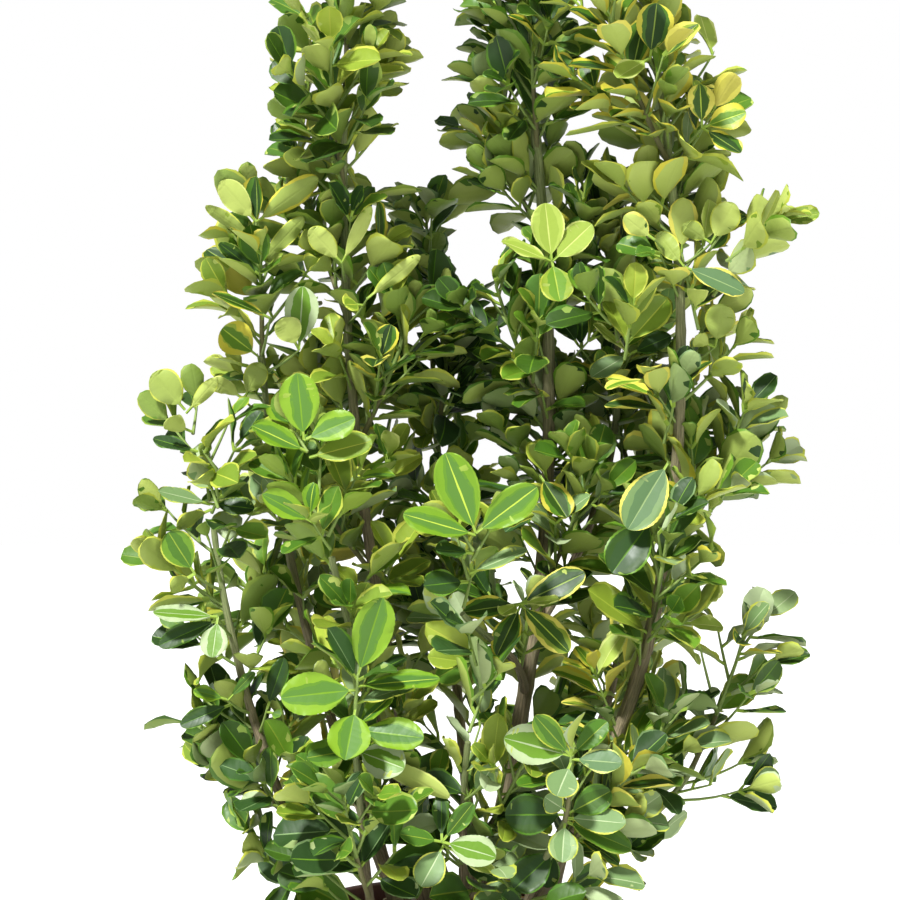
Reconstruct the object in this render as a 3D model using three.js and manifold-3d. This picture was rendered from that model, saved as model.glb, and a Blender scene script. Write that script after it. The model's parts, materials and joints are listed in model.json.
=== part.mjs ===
// A golden euonymus in a round pot: a clump of upright stems whose short side shoots
// carry opposite pairs of leaves. Millimetres, +Z up, +Y away from the front.
// The origin is the middle of the pot's flat underside.
import * as THREE from "three";
import { mergeVertices } from "three/addons/utils/BufferGeometryUtils.js";
import Module from "manifold-3d";

const wasm = await Module();
wasm.setup();

// Driving sizes of the pot
const potHeight = 220;
const potMouthRadius = 125; // outside the rolled rim
const potWallTopRadius = 116; // outside, just under the rim
const potFootRadius = 92;
const potWall = 3;
const potSides = 26;
const rimHeight = 26;
const rimFootRadius = 120;
const rimRoll = 2; // height and depth of each step of its rounded lip
const rimWidth = 10; // across the top of the lip
const drainHoles = 4;
const drainHoleRadius = 7;
const drainHoleSides = 8;
const drainCircleRadius = 62;

// Driving sizes of the stems and boughs
const soilLevel = 211;
const seat = 0.35; // gap between a limb and what starts on it
const limbSides = 6;
const stemBends = 8;
const boughBends = 4;
const flareGrowth = 0.45; // how much thicker a stem is at the soil, as a share of its radius
const flareFade = 22; // how fast that fades up the stem
const taperPower = 0.85;

// Driving sizes of the shoots
const shootRadius = 2.3;
const shootTaper = 0.4; // share of the radius lost by the tip
const shootSlope = 1.55; // how far a shoot leads along its limb for each step out from it
const shootLift = 0.5; // how strongly a shoot turns up towards the light
const highestShoot = 0.88; // share of a limb's length where its last side shoot stands
const turnPerShoot = 137.5; // degrees round the limb from one shoot to the next
const sideShootsAt = [0.22, 0.5]; // shares of the main shoot's length
const sideShare = 0.66; // length of the lowest, as a share of the main shoot's
const sideShootRadius = 1.7;
const sideShootSlope = 0.75;
const sideShootLift = 0.25;
const sideTurns = [0, 35, -35, 70, -70, 105, -105, 140, -140]; // degrees tried until one is clear

// Driving sizes of the leaves
const leafLength = 72;
const leafWidth = 52;
const leafKeel = 2.6; // how far the midrib stands out below
const leafCup = 0.06; // how far the edges rise, as a share of the length
const widestAt = 0.58; // share of the length
const keelAt = 0.42; // share of the length
const leafSpread = 66; // degrees between a low leaf and its shoot
const leafClosing = 24; // how much closer the last pair stands
const leafShrink = 0.2; // share of the size lost by the last pair
const rootShare = 0.35; // how far past a shoot's middle a leaf's root reaches, in radii
const lastPair = 0.97; // share of a shoot's length where its last pair of leaves stands
const pairOffset = 2.4; // one leaf of a pair stands this much lower, so that roots don't cross
const pairTurn = 90; // degrees from one pair to the next
const leafTurns = [0, 30, -30, 60]; // degrees tried until a leaf has room

const leastGap = 0.3; // gap that every shoot and leaf keeps to its neighbours
const smallestEdge = 0.1; // shorter edges left by joining are merged away

const up = new THREE.Vector3(0, 0, 1);
const materials = {
  pot: finish(0x5e2c2b, 0.5),
  soil: finish(0x4a3526, 0.95),
  bark: finish(0x7c6c56, 0.85),
  foliage: finish(0x5c8432, 0.45),
};

// Each stem: where it leaves the soil, the handles that bend it, its tip, and its two end radii.
// shoots: how many leafy side shoots it has, the lowest at the share "from" of its length.
// reach is their length, turn is the lowest one's bearing, and crown the length of the top shoot.
const stems = {
  centre_leader: {
    foot: [20, 15], rise: [14, 18, 330], bend: [98, 34, 420], tip: [46, 38, 872],
    radii: [7, 3.4], shoots: 6, from: 0.37, reach: 96, turn: 302, crown: 122,
  },
  right_leader: {
    foot: [40, -18], rise: [56, -20, 268], bend: [208, -50, 400], tip: [138, -42, 850],
    radii: [6.4, 2.8], shoots: 6, from: 0.33, reach: 108, turn: 260, crown: 106,
  },
  left_leader: {
    foot: [-10, 34], rise: [-38, 34, 300], bend: [-104, 44, 520], tip: [-92, 14, 838],
    radii: [5.6, 2.6], shoots: 4, from: 0.42, reach: 96, turn: 208, crown: 104,
  },
  left_outer: {
    foot: [-48, 14], rise: [-84, 20, 300], bend: [-144, 60, 440], tip: [-158, 50, 636],
    radii: [4.8, 2.4], shoots: 0, crown: 98,
  },
  left_middle: {
    foot: [-26, -20], rise: [-44, -30, 300], bend: [-82, -58, 410], tip: [-98, -72, 486],
    radii: [5, 2.4], shoots: 0, crown: 124,
  },
  far_left: {
    foot: [-86, -12], rise: [-130, -16, 262], bend: [-176, -22, 390], tip: [-190, -8, 510],
    radii: [4.8, 2.2], shoots: 2, from: 0.3, reach: 78, turn: 150, crown: 100,
  },
  front_left: {
    foot: [-66, -66], rise: [-74, -80, 260], bend: [-76, -92, 310], tip: [-80, -98, 350],
    radii: [3.8, 2.2], shoots: 1, from: 0.24, reach: 100, turn: 262, crown: 104,
  },
  centre_front: {
    foot: [-2, -40], rise: [-4, -56, 270], bend: [-4, -84, 320], tip: [0, -98, 356],
    radii: [4, 2.2], shoots: 1, from: 0.39, reach: 86, turn: 338, crown: 104,
  },
  front_right: {
    foot: [34, -66], rise: [42, -84, 250], bend: [56, -104, 276], tip: [68, -112, 302],
    radii: [3.8, 2.2], shoots: 1, from: 0.56, reach: 86, turn: 28, crown: 104,
  },
  right_low: {
    foot: [72, 0], rise: [92, -2, 268], bend: [148, -10, 284], tip: [168, -16, 328],
    radii: [4.6, 2.2], shoots: 1, from: 0.48, reach: 96, turn: 218, crown: 98,
  },
  back_right: {
    foot: [62, 44], rise: [84, 66, 300], bend: [140, 116, 400], tip: [142, 110, 560],
    radii: [5, 2.4], shoots: 2, from: 0.36, reach: 112, turn: 90, crown: 110,
  },
  back_centre: {
    foot: [8, 66], rise: [2, 92, 300], bend: [-16, 130, 430], tip: [-26, 112, 620],
    radii: [5, 2.4], shoots: 2, from: 0.42, reach: 108, turn: 150, crown: 116,
  },
  back_left: {
    foot: [-52, 56], rise: [-80, 88, 300], bend: [-118, 126, 380], tip: [-116, 122, 500],
    radii: [4.8, 2.3], shoots: 1, from: 0.55, reach: 108, turn: 180, crown: 122,
  },
};

// Boughs fork from a stem at a share of its length.
const boughs = {
  centre_bough: {
    parent: "centre_leader", at: 0.33, rise: [84, 34, 478], bend: [122, 50, 540], tip: [116, 44, 640],
    radii: [4.2, 2.3], shoots: 1, from: 0.45, reach: 94, turn: 12, crown: 100,
  },
  front_bough: {
    parent: "centre_leader", at: 0.26, rise: [42, -22, 416], bend: [10, -64, 426], tip: [-4, -84, 446],
    radii: [3.6, 2.1], shoots: 0, crown: 124,
  },
};

const plant = new THREE.Group();
const placed = []; // what a new shoot or leaf has to stay clear of

plant.add(named("pot", pot(), materials.pot));
plant.add(named("soil", soil(), materials.soil));
const limbs = { ...stems, ...boughs };
for (const [name, limb] of Object.entries(limbs)) addLimb(name, limb);
const shoots = Object.entries(limbs).flatMap(([name, limb]) => mainShoots(name, limb));
shoots.forEach(addMass);

export default plant;

function finish(color, roughness) {
  return new THREE.MeshStandardMaterial({ color, roughness, metalness: 0 });
}

function named(name, geometry, material) {
  const mesh = new THREE.Mesh(geometry, material);
  mesh.name = name;
  return mesh;
}

// The pot is one turned wall with a rolled rim, and its drain holes are cut through the floor.
function pot() {
  const underRim = potHeight - rimHeight;
  const lip = potMouthRadius - rimWidth;
  const profile = [
    [0, 0],
    [potFootRadius - potWall, 0],
    [potFootRadius, potWall],
    [potWallTopRadius, underRim],
    [rimFootRadius, underRim + 1],
    [potMouthRadius - 1, potHeight - 2 * rimRoll],
    [potMouthRadius, potHeight - rimRoll],
    [potMouthRadius - rimRoll, potHeight],
    [lip + rimRoll, potHeight],
    [lip, potHeight - 2 * rimRoll],
    [insideRadius(underRim), underRim],
    [insideRadius(potWall), potWall],
    [0, potWall],
  ];
  let body = solidOf(lathe(profile, potSides));
  const depth = 4 * potWall;
  for (let k = 0; k < drainHoles; k++) {
    const turn = ((k + 0.5) * 2 * Math.PI) / drainHoles;
    const hole = new THREE.CylinderGeometry(drainHoleRadius, drainHoleRadius, depth, drainHoleSides);
    hole.rotateX(Math.PI / 2);
    hole.translate(drainCircleRadius * Math.cos(turn), drainCircleRadius * Math.sin(turn), 0);
    body = body.subtract(solidOf(hole));
  }
  return geometryOf(body);
}

// Inside radius of the wall at a height: one slope up to the rim and a shallower one within it.
function insideRadius(z) {
  const underRim = potHeight - rimHeight;
  const wallTop = potWallTopRadius - potWall;
  if (z < underRim) {
    return THREE.MathUtils.mapLinear(z, 0, underRim, potFootRadius - potWall, wallTop);
  }
  const lip = potMouthRadius - rimWidth;
  return THREE.MathUtils.mapLinear(z, underRim, potHeight - 2 * rimRoll, wallTop, lip);
}

// The soil fills the pot to a little under the rim and is clear of the wall all round.
function soil() {
  const heights = [potWall + seat, potHeight - rimHeight, soilLevel];
  const side = heights.map((z) => [insideRadius(z) - 2 * seat, z]);
  return lathe([[0, heights[0]], ...side, [0, soilLevel]], potSides);
}

// Turns a profile of [radius, height] points about the pot's axis.
function lathe(profile, sides) {
  const points = profile.map(([r, z]) => new THREE.Vector2(r, z));
  const geometry = new THREE.LatheGeometry(points, sides);
  geometry.rotateX(Math.PI / 2);
  return geometry;
}

// A limb runs along a cubic Bezier curve from the soil, or from its parent's bark, to its tip.
function addLimb(name, limb) {
  const [thick, thin] = limb.radii;
  limb.radiusAt = (t) => {
    const flare = limb.parent ? 0 : thick * flareGrowth * Math.exp(-t * flareFade);
    return thick + (thin - thick) * Math.pow(t, taperPower) + flare;
  };
  const bends = limb.parent ? boughBends : stemBends;
  const tube = (curve) => taperedTube(curve, limb.radiusAt, limbSides, bends, !limb.parent);
  limb.curve = limbCurve(limb, tube);
  const geometry = tube(limb.curve);
  limb.solid = solidOf(geometry);
  place(limb.solid, name);
  plant.add(named(name, geometry, materials.bark));
}

function limbCurve(limb, tube) {
  const [rise, bend, tip] = [limb.rise, limb.bend, limb.tip].map((p) => new THREE.Vector3(...p));
  const from = (foot) => new THREE.CubicBezierCurve3(foot, rise, bend, tip);
  if (!limb.parent) return from(new THREE.Vector3(...limb.foot, soilLevel + seat));
  const parent = stems[limb.parent];
  const fork = parent.curve.getPointAt(limb.at);
  const away = rise.clone().sub(fork).normalize();
  return from(seated(fork, away, parent, (foot) => solidOf(tube(from(foot)))));
}

// Slides a start point out along a heading until the solid grown from it clears the limb's bark.
function seated(from, heading, limb, grow) {
  let near = 0;
  let far = 40;
  while (far - near > 0.005) {
    const middle = (near + far) / 2;
    const solid = grow(from.clone().addScaledVector(heading, middle));
    if (solid.minGap(limb.solid, 2 * seat) > seat) far = middle;
    else near = middle;
  }
  return from.clone().addScaledVector(heading, far);
}

// A cylinder whose rings are moved onto a curve. A level foot is a flat cut at the ground.
function taperedTube(curve, radiusAt, sides, steps, levelFoot = false) {
  const geometry = new THREE.CylinderGeometry(1, 1, 1, sides, steps);
  const frames = curve.computeFrenetFrames(steps);
  const position = geometry.attributes.position;
  for (let i = 0; i < position.count; i++) {
    const ring = Math.round((position.getY(i) + 0.5) * steps);
    const t = ring / steps;
    const point = curve
      .getPointAt(t)
      .addScaledVector(frames.normals[ring], position.getX(i) * radiusAt(t))
      .addScaledVector(frames.binormals[ring], -position.getZ(i) * radiusAt(t));
    if (levelFoot && ring === 0) point.z = curve.getPoint(0).z;
    position.setXYZ(i, point.x, point.y, point.z);
  }
  return geometry;
}

// Shoots leave a limb one after another up its length, and one more carries on from its tip.
function mainShoots(name, limb) {
  const found = [];
  for (let k = 0; k < limb.shoots; k++) {
    const at = limb.from + ((highestShoot - limb.from) * k) / Math.max(limb.shoots - 1, 1);
    const along = limb.curve.getTangentAt(at);
    const out = sideways(along, limb.turn + turnPerShoot * k);
    const heading = out.addScaledVector(along, shootSlope).normalize();
    const grow = (start) => shootSolid(mainShoot(start, heading, limb.reach));
    const start = seated(limb.curve.getPointAt(at), heading, limb, grow);
    found.push(placedShoot(`${name}_foliage_${k + 1}`, start, heading, limb.reach));
  }
  const heading = limb.curve.getTangent(1);
  const start = limb.curve.getPoint(1).addScaledVector(heading, seat);
  found.push(placedShoot(`${name}_top_foliage`, start, heading, limb.crown));
  return found;
}

function placedShoot(name, start, heading, length) {
  const shoot = { name, ...mainShoot(start, heading, length) };
  shoot.solid = shootSolid(shoot);
  place(shoot.solid, name);
  return shoot;
}

// A unit vector across the given direction, at a bearing in degrees round it.
function sideways(along, bearing) {
  const turn = THREE.MathUtils.degToRad(bearing);
  const first = new THREE.Vector3(1, 0, 0).addScaledVector(along, -along.x).normalize();
  const second = new THREE.Vector3().crossVectors(along, first);
  return first.multiplyScalar(Math.cos(turn)).addScaledVector(second, Math.sin(turn));
}

// Numbers from 0 to 1. The same seed always gives the same row, so it always grows the same mass.
function seededRandom(seed) {
  let state = (seed + 1) * 7919;
  return () => {
    state = (state * 1664525 + 1013904223) % 2 ** 32;
    return state / 2 ** 32;
  };
}

// A number within the given distance of zero.
function spreadOf(random, distance) {
  return (2 * random() - 1) * distance;
}

// One mass of foliage: a main shoot with side shoots, and pairs of leaves on all of them.
function addMass(main, seed) {
  const random = seededRandom(seed);
  const mass = { solid: main.solid };
  addLeaves(main, random, mass);
  const firstTurn = 360 * random();
  sideShootsAt.forEach((at, k) => {
    const share = sideShare * (1 - at / 3) * (1 + spreadOf(random, 0.15));
    for (const turn of sideTurns) {
      const bearing = firstTurn + turnPerShoot * k + turn;
      const shoot = sideShoot(main, at, bearing, main.length * share);
      shoot.name = `${main.name} side ${k}`;
      if (!fused(mass, shootSolid(shoot), shoot.name, main.name)) continue;
      addLeaves(shoot, random, mass);
      return;
    }
  });
  plant.add(named(main.name, geometryOf(mass.solid), materials.foliage));
}

function addLeaves(shoot, random, mass) {
  for (const leaf of leafSeats(shoot, random)) {
    leafTurns.some((turn) => fused(mass, leafSolid(shoot, leaf, turn), leaf.node, shoot.name));
  }
}

function shootSolid(shoot) {
  return solidOf(taperedTube(shoot.curve, shoot.radiusAt, 3, shoot.bends));
}

// Joins a side shoot or leaf to its mass, unless it would touch anything but what it grows from
// or would close a ring.
function fused(mass, solid, name, parent) {
  if (touches(solid, new Set([name, parent]))) return false;
  const joined = mass.solid.add(solid).simplify(smallestEdge);
  if (joined.genus() !== 0 || joined.decompose().length !== 1) return false;
  mass.solid = joined;
  place(solid, name);
  return true;
}

// A main shoot bends up towards the light halfway along.
function mainShoot(start, heading, length) {
  const middle = start.clone().addScaledVector(heading, length / 2);
  const lifted = heading.clone().addScaledVector(up, shootLift).normalize();
  const end = middle.clone().addScaledVector(lifted, length / 2);
  return {
    length,
    pairs: 3,
    bends: 3,
    curve: new THREE.QuadraticBezierCurve3(start, middle, end),
    radiusAt: (t) => shootRadius * (1 - shootTaper * t),
  };
}

// A side shoot is straight and leaves the main shoot at a bearing round it.
function sideShoot(main, at, bearing, length) {
  const along = main.curve.getTangentAt(at);
  const heading = sideways(along, bearing)
    .addScaledVector(along, sideShootSlope)
    .addScaledVector(up, sideShootLift)
    .normalize();
  const start = main.curve.getPointAt(at);
  return {
    pairs: 2,
    bends: 1,
    curve: new THREE.LineCurve3(start, start.clone().addScaledVector(heading, length)),
    radiusAt: (t) => sideShootRadius * (1 - shootTaper * t),
  };
}

// Opposite pairs of leaves, evenly up the shoot, each pair a quarter turn round from the last.
// Leaves are smaller and closer to the shoot towards its tip.
function leafSeats(shoot, random) {
  const firstTurn = 360 * random();
  const seats = [];
  for (let k = 1; k <= shoot.pairs; k++) {
    const share = k / shoot.pairs;
    for (const side of [0, 1]) {
      seats.push({
        node: `${shoot.name} pair ${k}`,
        at: Math.min(share, lastPair),
        drop: side * pairOffset,
        bearing: firstTurn + pairTurn * k + 180 * side + spreadOf(random, 8),
        spread: leafSpread - leafClosing * share + spreadOf(random, 7),
        size: (1 - leafShrink * share) * (1 + spreadOf(random, 0.12)),
      });
    }
  }
  return seats;
}

// A leaf blade is a three-sided spindle from its root to its tip, drawn out to two raised edges
// near the tip and to the keel of its midrib underneath. Its face is turned to the shoot's tip.
function leafSolid(shoot, { at, drop, bearing, spread, size }, extraTurn) {
  const along = shoot.curve.getTangentAt(at);
  const out = sideways(along, bearing + extraTurn);
  const lean = THREE.MathUtils.degToRad(spread);
  const axis = out.clone().multiplyScalar(Math.sin(lean)).addScaledVector(along, Math.cos(lean));
  const normal = along.clone().multiplyScalar(Math.sin(lean)).addScaledVector(out, -Math.cos(lean));
  normal.lerp(up, 0.25);
  normal.addScaledVector(axis, -normal.dot(axis)).normalize();
  const across = new THREE.Vector3().crossVectors(axis, normal);
  const base = shoot.curve.getPointAt(at).addScaledVector(along, -drop);
  const length = leafLength * size;
  const corner = (forward, sidewards, raised) =>
    base
      .clone()
      .addScaledVector(axis, forward)
      .addScaledVector(across, sidewards)
      .addScaledVector(normal, raised);
  const root = corner(-rootShare * shoot.radiusAt(at), 0, 0);
  const tip = corner(length, 0, 0);
  const keel = corner(length * keelAt, 0, -leafKeel * size);
  const edges = [-1, 1].map((side) =>
    corner(length * widestAt, (side * leafWidth * size) / 2, leafCup * length),
  );
  const geometry = new THREE.SphereGeometry(1, 3, 2);
  const position = geometry.attributes.position;
  for (let i = 0; i < position.count; i++) {
    const pole = Math.round(position.getY(i));
    const side = Math.round(position.getZ(i));
    const waist = side === 0 ? keel : edges[side > 0 ? 1 : 0];
    const point = pole > 0 ? tip : pole < 0 ? root : waist;
    position.setXYZ(i, point.x, point.y, point.z);
  }
  return solidOf(geometry);
}

function place(solid, id) {
  placed.push({ solid, id, box: solid.boundingBox() });
}

// True if the solid comes within the least gap of anything placed, other than what it grows from.
function touches(solid, own) {
  const box = solid.boundingBox();
  return placed.some((other) => {
    if (own.has(other.id)) return false;
    for (let k = 0; k < 3; k++) {
      if (box.min[k] > other.box.max[k] + leastGap) return false;
      if (other.box.min[k] > box.max[k] + leastGap) return false;
    }
    return solid.minGap(other.solid, 2 * leastGap) < leastGap;
  });
}

// A closed geometry as a solid that can be joined and cut. Its faces are turned outwards.
function solidOf(geometry) {
  const bare = new THREE.BufferGeometry();
  bare.setAttribute("position", geometry.getAttribute("position"));
  if (geometry.index) bare.setIndex(geometry.index);
  const merged = mergeVertices(bare, 1e-4);
  const made = (triVerts) =>
    new wasm.Manifold(
      new wasm.Mesh({ numProp: 3, vertProperties: merged.attributes.position.array, triVerts }),
    );
  const triangles = new Uint32Array(merged.index.array);
  const solid = made(triangles);
  if (solid.volume() > 0) return solid;
  return made(triangles.map((_, i) => triangles[i - (i % 3) + 2 - (i % 3)]));
}

function geometryOf(solid) {
  const mesh = solid.getMesh();
  const points = new Float32Array(mesh.numVert * 3);
  for (let i = 0; i < mesh.numVert; i++) {
    points.set(mesh.vertProperties.subarray(i * mesh.numProp, i * mesh.numProp + 3), i * 3);
  }
  const geometry = new THREE.BufferGeometry();
  geometry.setAttribute("position", new THREE.BufferAttribute(points, 3));
  geometry.setIndex(new THREE.BufferAttribute(mesh.triVerts, 1));
  return geometry;
}
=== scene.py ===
# A potted golden euonymus for the camera: a turned pot, crumbly soil, stems with ridged bark,
# green twigs and opposite leaves. Metres, +Z up, +Y away from the front.
import itertools
import json
import math

import bpy
import numpy as np
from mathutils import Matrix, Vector, noise
from mathutils.bvhtree import BVHTree

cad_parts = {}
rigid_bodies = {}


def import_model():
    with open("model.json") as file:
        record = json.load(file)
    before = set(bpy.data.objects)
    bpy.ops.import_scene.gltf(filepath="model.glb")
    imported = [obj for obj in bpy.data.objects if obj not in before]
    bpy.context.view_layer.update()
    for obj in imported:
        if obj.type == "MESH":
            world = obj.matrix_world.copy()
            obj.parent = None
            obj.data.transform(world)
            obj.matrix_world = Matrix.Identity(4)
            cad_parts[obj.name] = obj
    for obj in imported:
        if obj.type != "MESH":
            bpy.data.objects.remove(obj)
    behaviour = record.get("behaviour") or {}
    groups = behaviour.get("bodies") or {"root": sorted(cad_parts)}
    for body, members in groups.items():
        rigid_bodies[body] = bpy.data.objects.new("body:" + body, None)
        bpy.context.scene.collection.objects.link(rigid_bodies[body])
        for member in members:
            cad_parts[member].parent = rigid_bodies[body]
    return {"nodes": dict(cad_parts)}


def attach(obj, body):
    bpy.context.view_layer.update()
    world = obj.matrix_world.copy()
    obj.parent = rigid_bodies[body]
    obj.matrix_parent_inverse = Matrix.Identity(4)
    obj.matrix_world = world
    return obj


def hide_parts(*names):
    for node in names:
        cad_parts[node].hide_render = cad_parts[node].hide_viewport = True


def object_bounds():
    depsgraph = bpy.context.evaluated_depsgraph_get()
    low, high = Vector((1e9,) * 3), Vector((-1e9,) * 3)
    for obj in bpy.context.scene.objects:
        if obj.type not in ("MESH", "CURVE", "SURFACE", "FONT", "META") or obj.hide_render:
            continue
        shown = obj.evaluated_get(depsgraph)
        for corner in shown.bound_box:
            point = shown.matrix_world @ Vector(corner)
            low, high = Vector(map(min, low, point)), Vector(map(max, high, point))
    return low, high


for leftover in list(bpy.data.objects):
    bpy.data.objects.remove(leftover)
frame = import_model()
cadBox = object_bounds()
print("frame loaded with", len(frame["nodes"]), "solids")


# The camera stands where the photo was taken from, level with the middle of the crown.
camera = dict(place=(-0.0128, -1.765, 0.563), lens=94.04, sensor=36.0, farthest=60)
photoSide = 900  # pixels


def addCamera():
    bpy.ops.object.camera_add(location=camera["place"], rotation=(math.pi / 2, 0, 0))
    made = bpy.context.object
    made.data.lens = camera["lens"]
    made.data.sensor_width = camera["sensor"]
    made.data.clip_end = camera["farthest"]
    made.data.dof.use_dof = False
    bpy.context.scene.camera = made


# The size of one of the photo's pixels at a depth.
def pixelAt(depth):
    return (depth - camera["place"][1]) * camera["sensor"] / camera["lens"] / photoSide


# A place in the row frame from its pixel in the photo and how far back it lies.
def photoPoint(right, down, depth):
    x, _, z = camera["place"]
    step = pixelAt(depth)
    middle = photoSide / 2
    return np.array([x + (right - middle) * step, depth, z - (down - middle) * step])


def photoPixels(points):
    x, y, z = camera["place"]
    zoom = photoSide * camera["lens"] / camera["sensor"] / (points[:, 1] - y)
    return photoSide / 2 + (points[:, 0] - x) * zoom, photoSide / 2 - (points[:, 2] - z) * zoom


addCamera()


# Small helpers for vectors and seeded draws

def unit(vector):
    return vector / math.sqrt(vector[0] * vector[0] + vector[1] * vector[1] + vector[2] * vector[2])


def cross(a, b):
    return np.array([a[1] * b[2] - a[2] * b[1], a[2] * b[0] - a[0] * b[2], a[0] * b[1] - a[1] * b[0]])


# Numbers from 0 to 1 by a plain congruence, the same in every run.
def seededRandom(seed):
    state = (seed + 1) * 7919

    def draw():
        nonlocal state
        state = (state * 1664525 + 1013904223) % 2**32
        return state / 2**32

    return draw


def spreadOf(draw, distance):
    return (2 * draw() - 1) * distance


def drawn(draw, least, more):
    return least + more * draw()


def upwards(amount):
    return np.array([0, 0, amount])


# Two directions, or amounts along them, turned in their plane.
def rotated(a, b, cos, sin):
    return a * cos + b * sin, b * cos - a * sin


# A unit vector across the given direction, at a bearing in degrees round it.
def sideways(along, bearing):
    turn = math.radians(bearing)
    across = np.array([1.0, 0, 0]) if abs(along[0]) < 0.95 else np.array([0, 1.0, 0])
    first = unit(across - along * along.dot(across))
    return first * math.cos(turn) + cross(along, first) * math.sin(turn)


# A Bezier curve through its control points, measured along its length.
def pathOf(*controls, samples=120):
    t = np.linspace(0, 1, samples + 1)[:, None]
    degree = len(controls) - 1
    points = sum(
        math.comb(degree, k) * (1 - t) ** (degree - k) * t**k * np.asarray(c, float)
        for k, c in enumerate(controls)
    )
    steps = np.linalg.norm(np.diff(points, axis=0), axis=1)
    run = np.concatenate([[0], np.cumsum(steps)])
    return dict(points=points, run=run, length=run[-1])


def pointAt(path, share):
    at = share * path["length"]
    return np.array([np.interp(at, path["run"], path["points"][:, k]) for k in range(3)])


def tangentAt(path, share):
    return unit(pointAt(path, min(share + 0.01, 1)) - pointAt(path, max(share - 0.01, 0)))


# Points on a path, each with two directions across it that turn as little as they can.
def framesAlong(path, shares):
    across = sideways(tangentAt(path, shares[0]), 0)
    rows = []
    for share in shares:
        along = tangentAt(path, share)
        across = unit(across - along * along.dot(across))
        rows.append((pointAt(path, share), across, cross(along, across)))
    return rows


# Small helpers for meshes

# Faces of a tube of rings: round it from ring to ring, then to its tip, then over its foot.
def tubeFaces(sides, rings):
    pairs = [(k, (k + 1) % sides) for k in range(sides)]
    faces = []
    for low in range(0, (rings - 1) * sides, sides):
        faces += [[low + a, low + b, low + sides + b, low + sides + a] for a, b in pairs]
    last, tip = (rings - 1) * sides, rings * sides
    faces += [[last + a, last + b, tip] for a, b in pairs]
    return faces + [list(reversed(range(sides)))]


def onlySelect(piece):
    bpy.ops.object.select_all(action="DESELECT")
    piece.select_set(True)
    bpy.context.view_layer.objects.active = piece


# One joined mesh from arrays, with the material slot of each face.
def meshPiece(name, points, faces, slots, materials, smoothUnder):
    mesh = bpy.data.meshes.new(name)
    mesh.from_pydata(points, [], faces)
    for material in materials:
        mesh.materials.append(material)
    mesh.polygons.foreach_set("material_index", slots)
    mesh.update()
    piece = bpy.data.objects.new(name, mesh)
    bpy.context.scene.collection.objects.link(piece)
    onlySelect(piece)
    bpy.ops.object.shade_smooth_by_angle(angle=math.radians(smoothUnder))
    return piece


def dress(piece, slot, *nodes):
    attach(piece, "root")
    if nodes:
        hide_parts(*nodes)


# Materials

def colour(code):
    channels = [int(code[k:k + 2], 16) / 255 for k in (0, 2, 4)]
    linear = [c / 12.92 if c < 0.04045 else ((c + 0.055) / 1.055) ** 2.4 for c in channels]  # from sRGB
    return (*linear, 1)


def newMaterial(name):
    material = bpy.data.materials.new(name)
    material.use_nodes = True
    nodes = material.node_tree.nodes
    return material, nodes, material.node_tree.links, nodes["Principled BSDF"]


def nodeGroup(name, inputs, outputs):
    group = bpy.data.node_groups.new(name, "ShaderNodeTree")
    for title, kind, value in inputs:
        socket = group.interface.new_socket(title, in_out="INPUT", socket_type=kind)
        if value is not None:
            socket.default_value = value
    for title in outputs:
        group.interface.new_socket(title, in_out="OUTPUT", socket_type="NodeSocketFloat")
    return group, group.nodes.new("NodeGroupInput"), group.nodes.new("NodeGroupOutput")


# A Math node whose inputs are sockets or numbers.
def mathNode(nodes, links, operation, a, b=None):
    node = nodes.new("ShaderNodeMath")
    node.operation = operation
    for socket, value in zip(node.inputs, (a, b)):
        if value is None:
            continue
        if isinstance(value, (int, float)):
            socket.default_value = value
        else:
            links.new(value, socket)
    return node.outputs[0]


# A colour between two, by a socket. Each colour is a code or a socket.
def mixed(nodes, links, share, a, b):
    node = nodes.new("ShaderNodeMix")
    node.data_type = "RGBA"
    links.new(share, node.inputs[0])
    for socket, value in ((node.inputs[6], a), (node.inputs[7], b)):
        if isinstance(value, str):
            socket.default_value = colour(value)
        else:
            links.new(value, socket)
    return node.outputs[2]


def ranged(nodes, links, value, low, high, toLow=0.0, toHigh=1.0):
    node = nodes.new("ShaderNodeMapRange")
    links.new(value, node.inputs["Value"])
    node.inputs["From Min"].default_value = low
    node.inputs["From Max"].default_value = high
    node.inputs["To Min"].default_value = toLow
    node.inputs["To Max"].default_value = toHigh
    return node.outputs[0]


# Soft blotches and fine specks on object coordinates, for dust, wear, wax and the pot's painted rim
# highlight.
def makePatches():
    group, given, out = nodeGroup(
        "patches",
        [("Blotch Scale", "NodeSocketFloat", 40.0), ("Speck Scale", "NodeSocketFloat", 600.0)],
        ["Blotches", "Specks"],
    )
    nodes, links = group.nodes, group.links
    place = nodes.new("ShaderNodeTexCoord").outputs["Object"]
    for socket, title, detail in (("Blotch Scale", "Blotches", 3), ("Speck Scale", "Specks", 2)):
        texture = nodes.new("ShaderNodeTexNoise")
        texture.inputs["Detail"].default_value = detail
        links.new(place, texture.inputs["Vector"])
        links.new(given.outputs[socket], texture.inputs["Scale"])
        links.new(ranged(nodes, links, texture.outputs[0], 0.35, 0.65), out.inputs[title])
    return group


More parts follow.
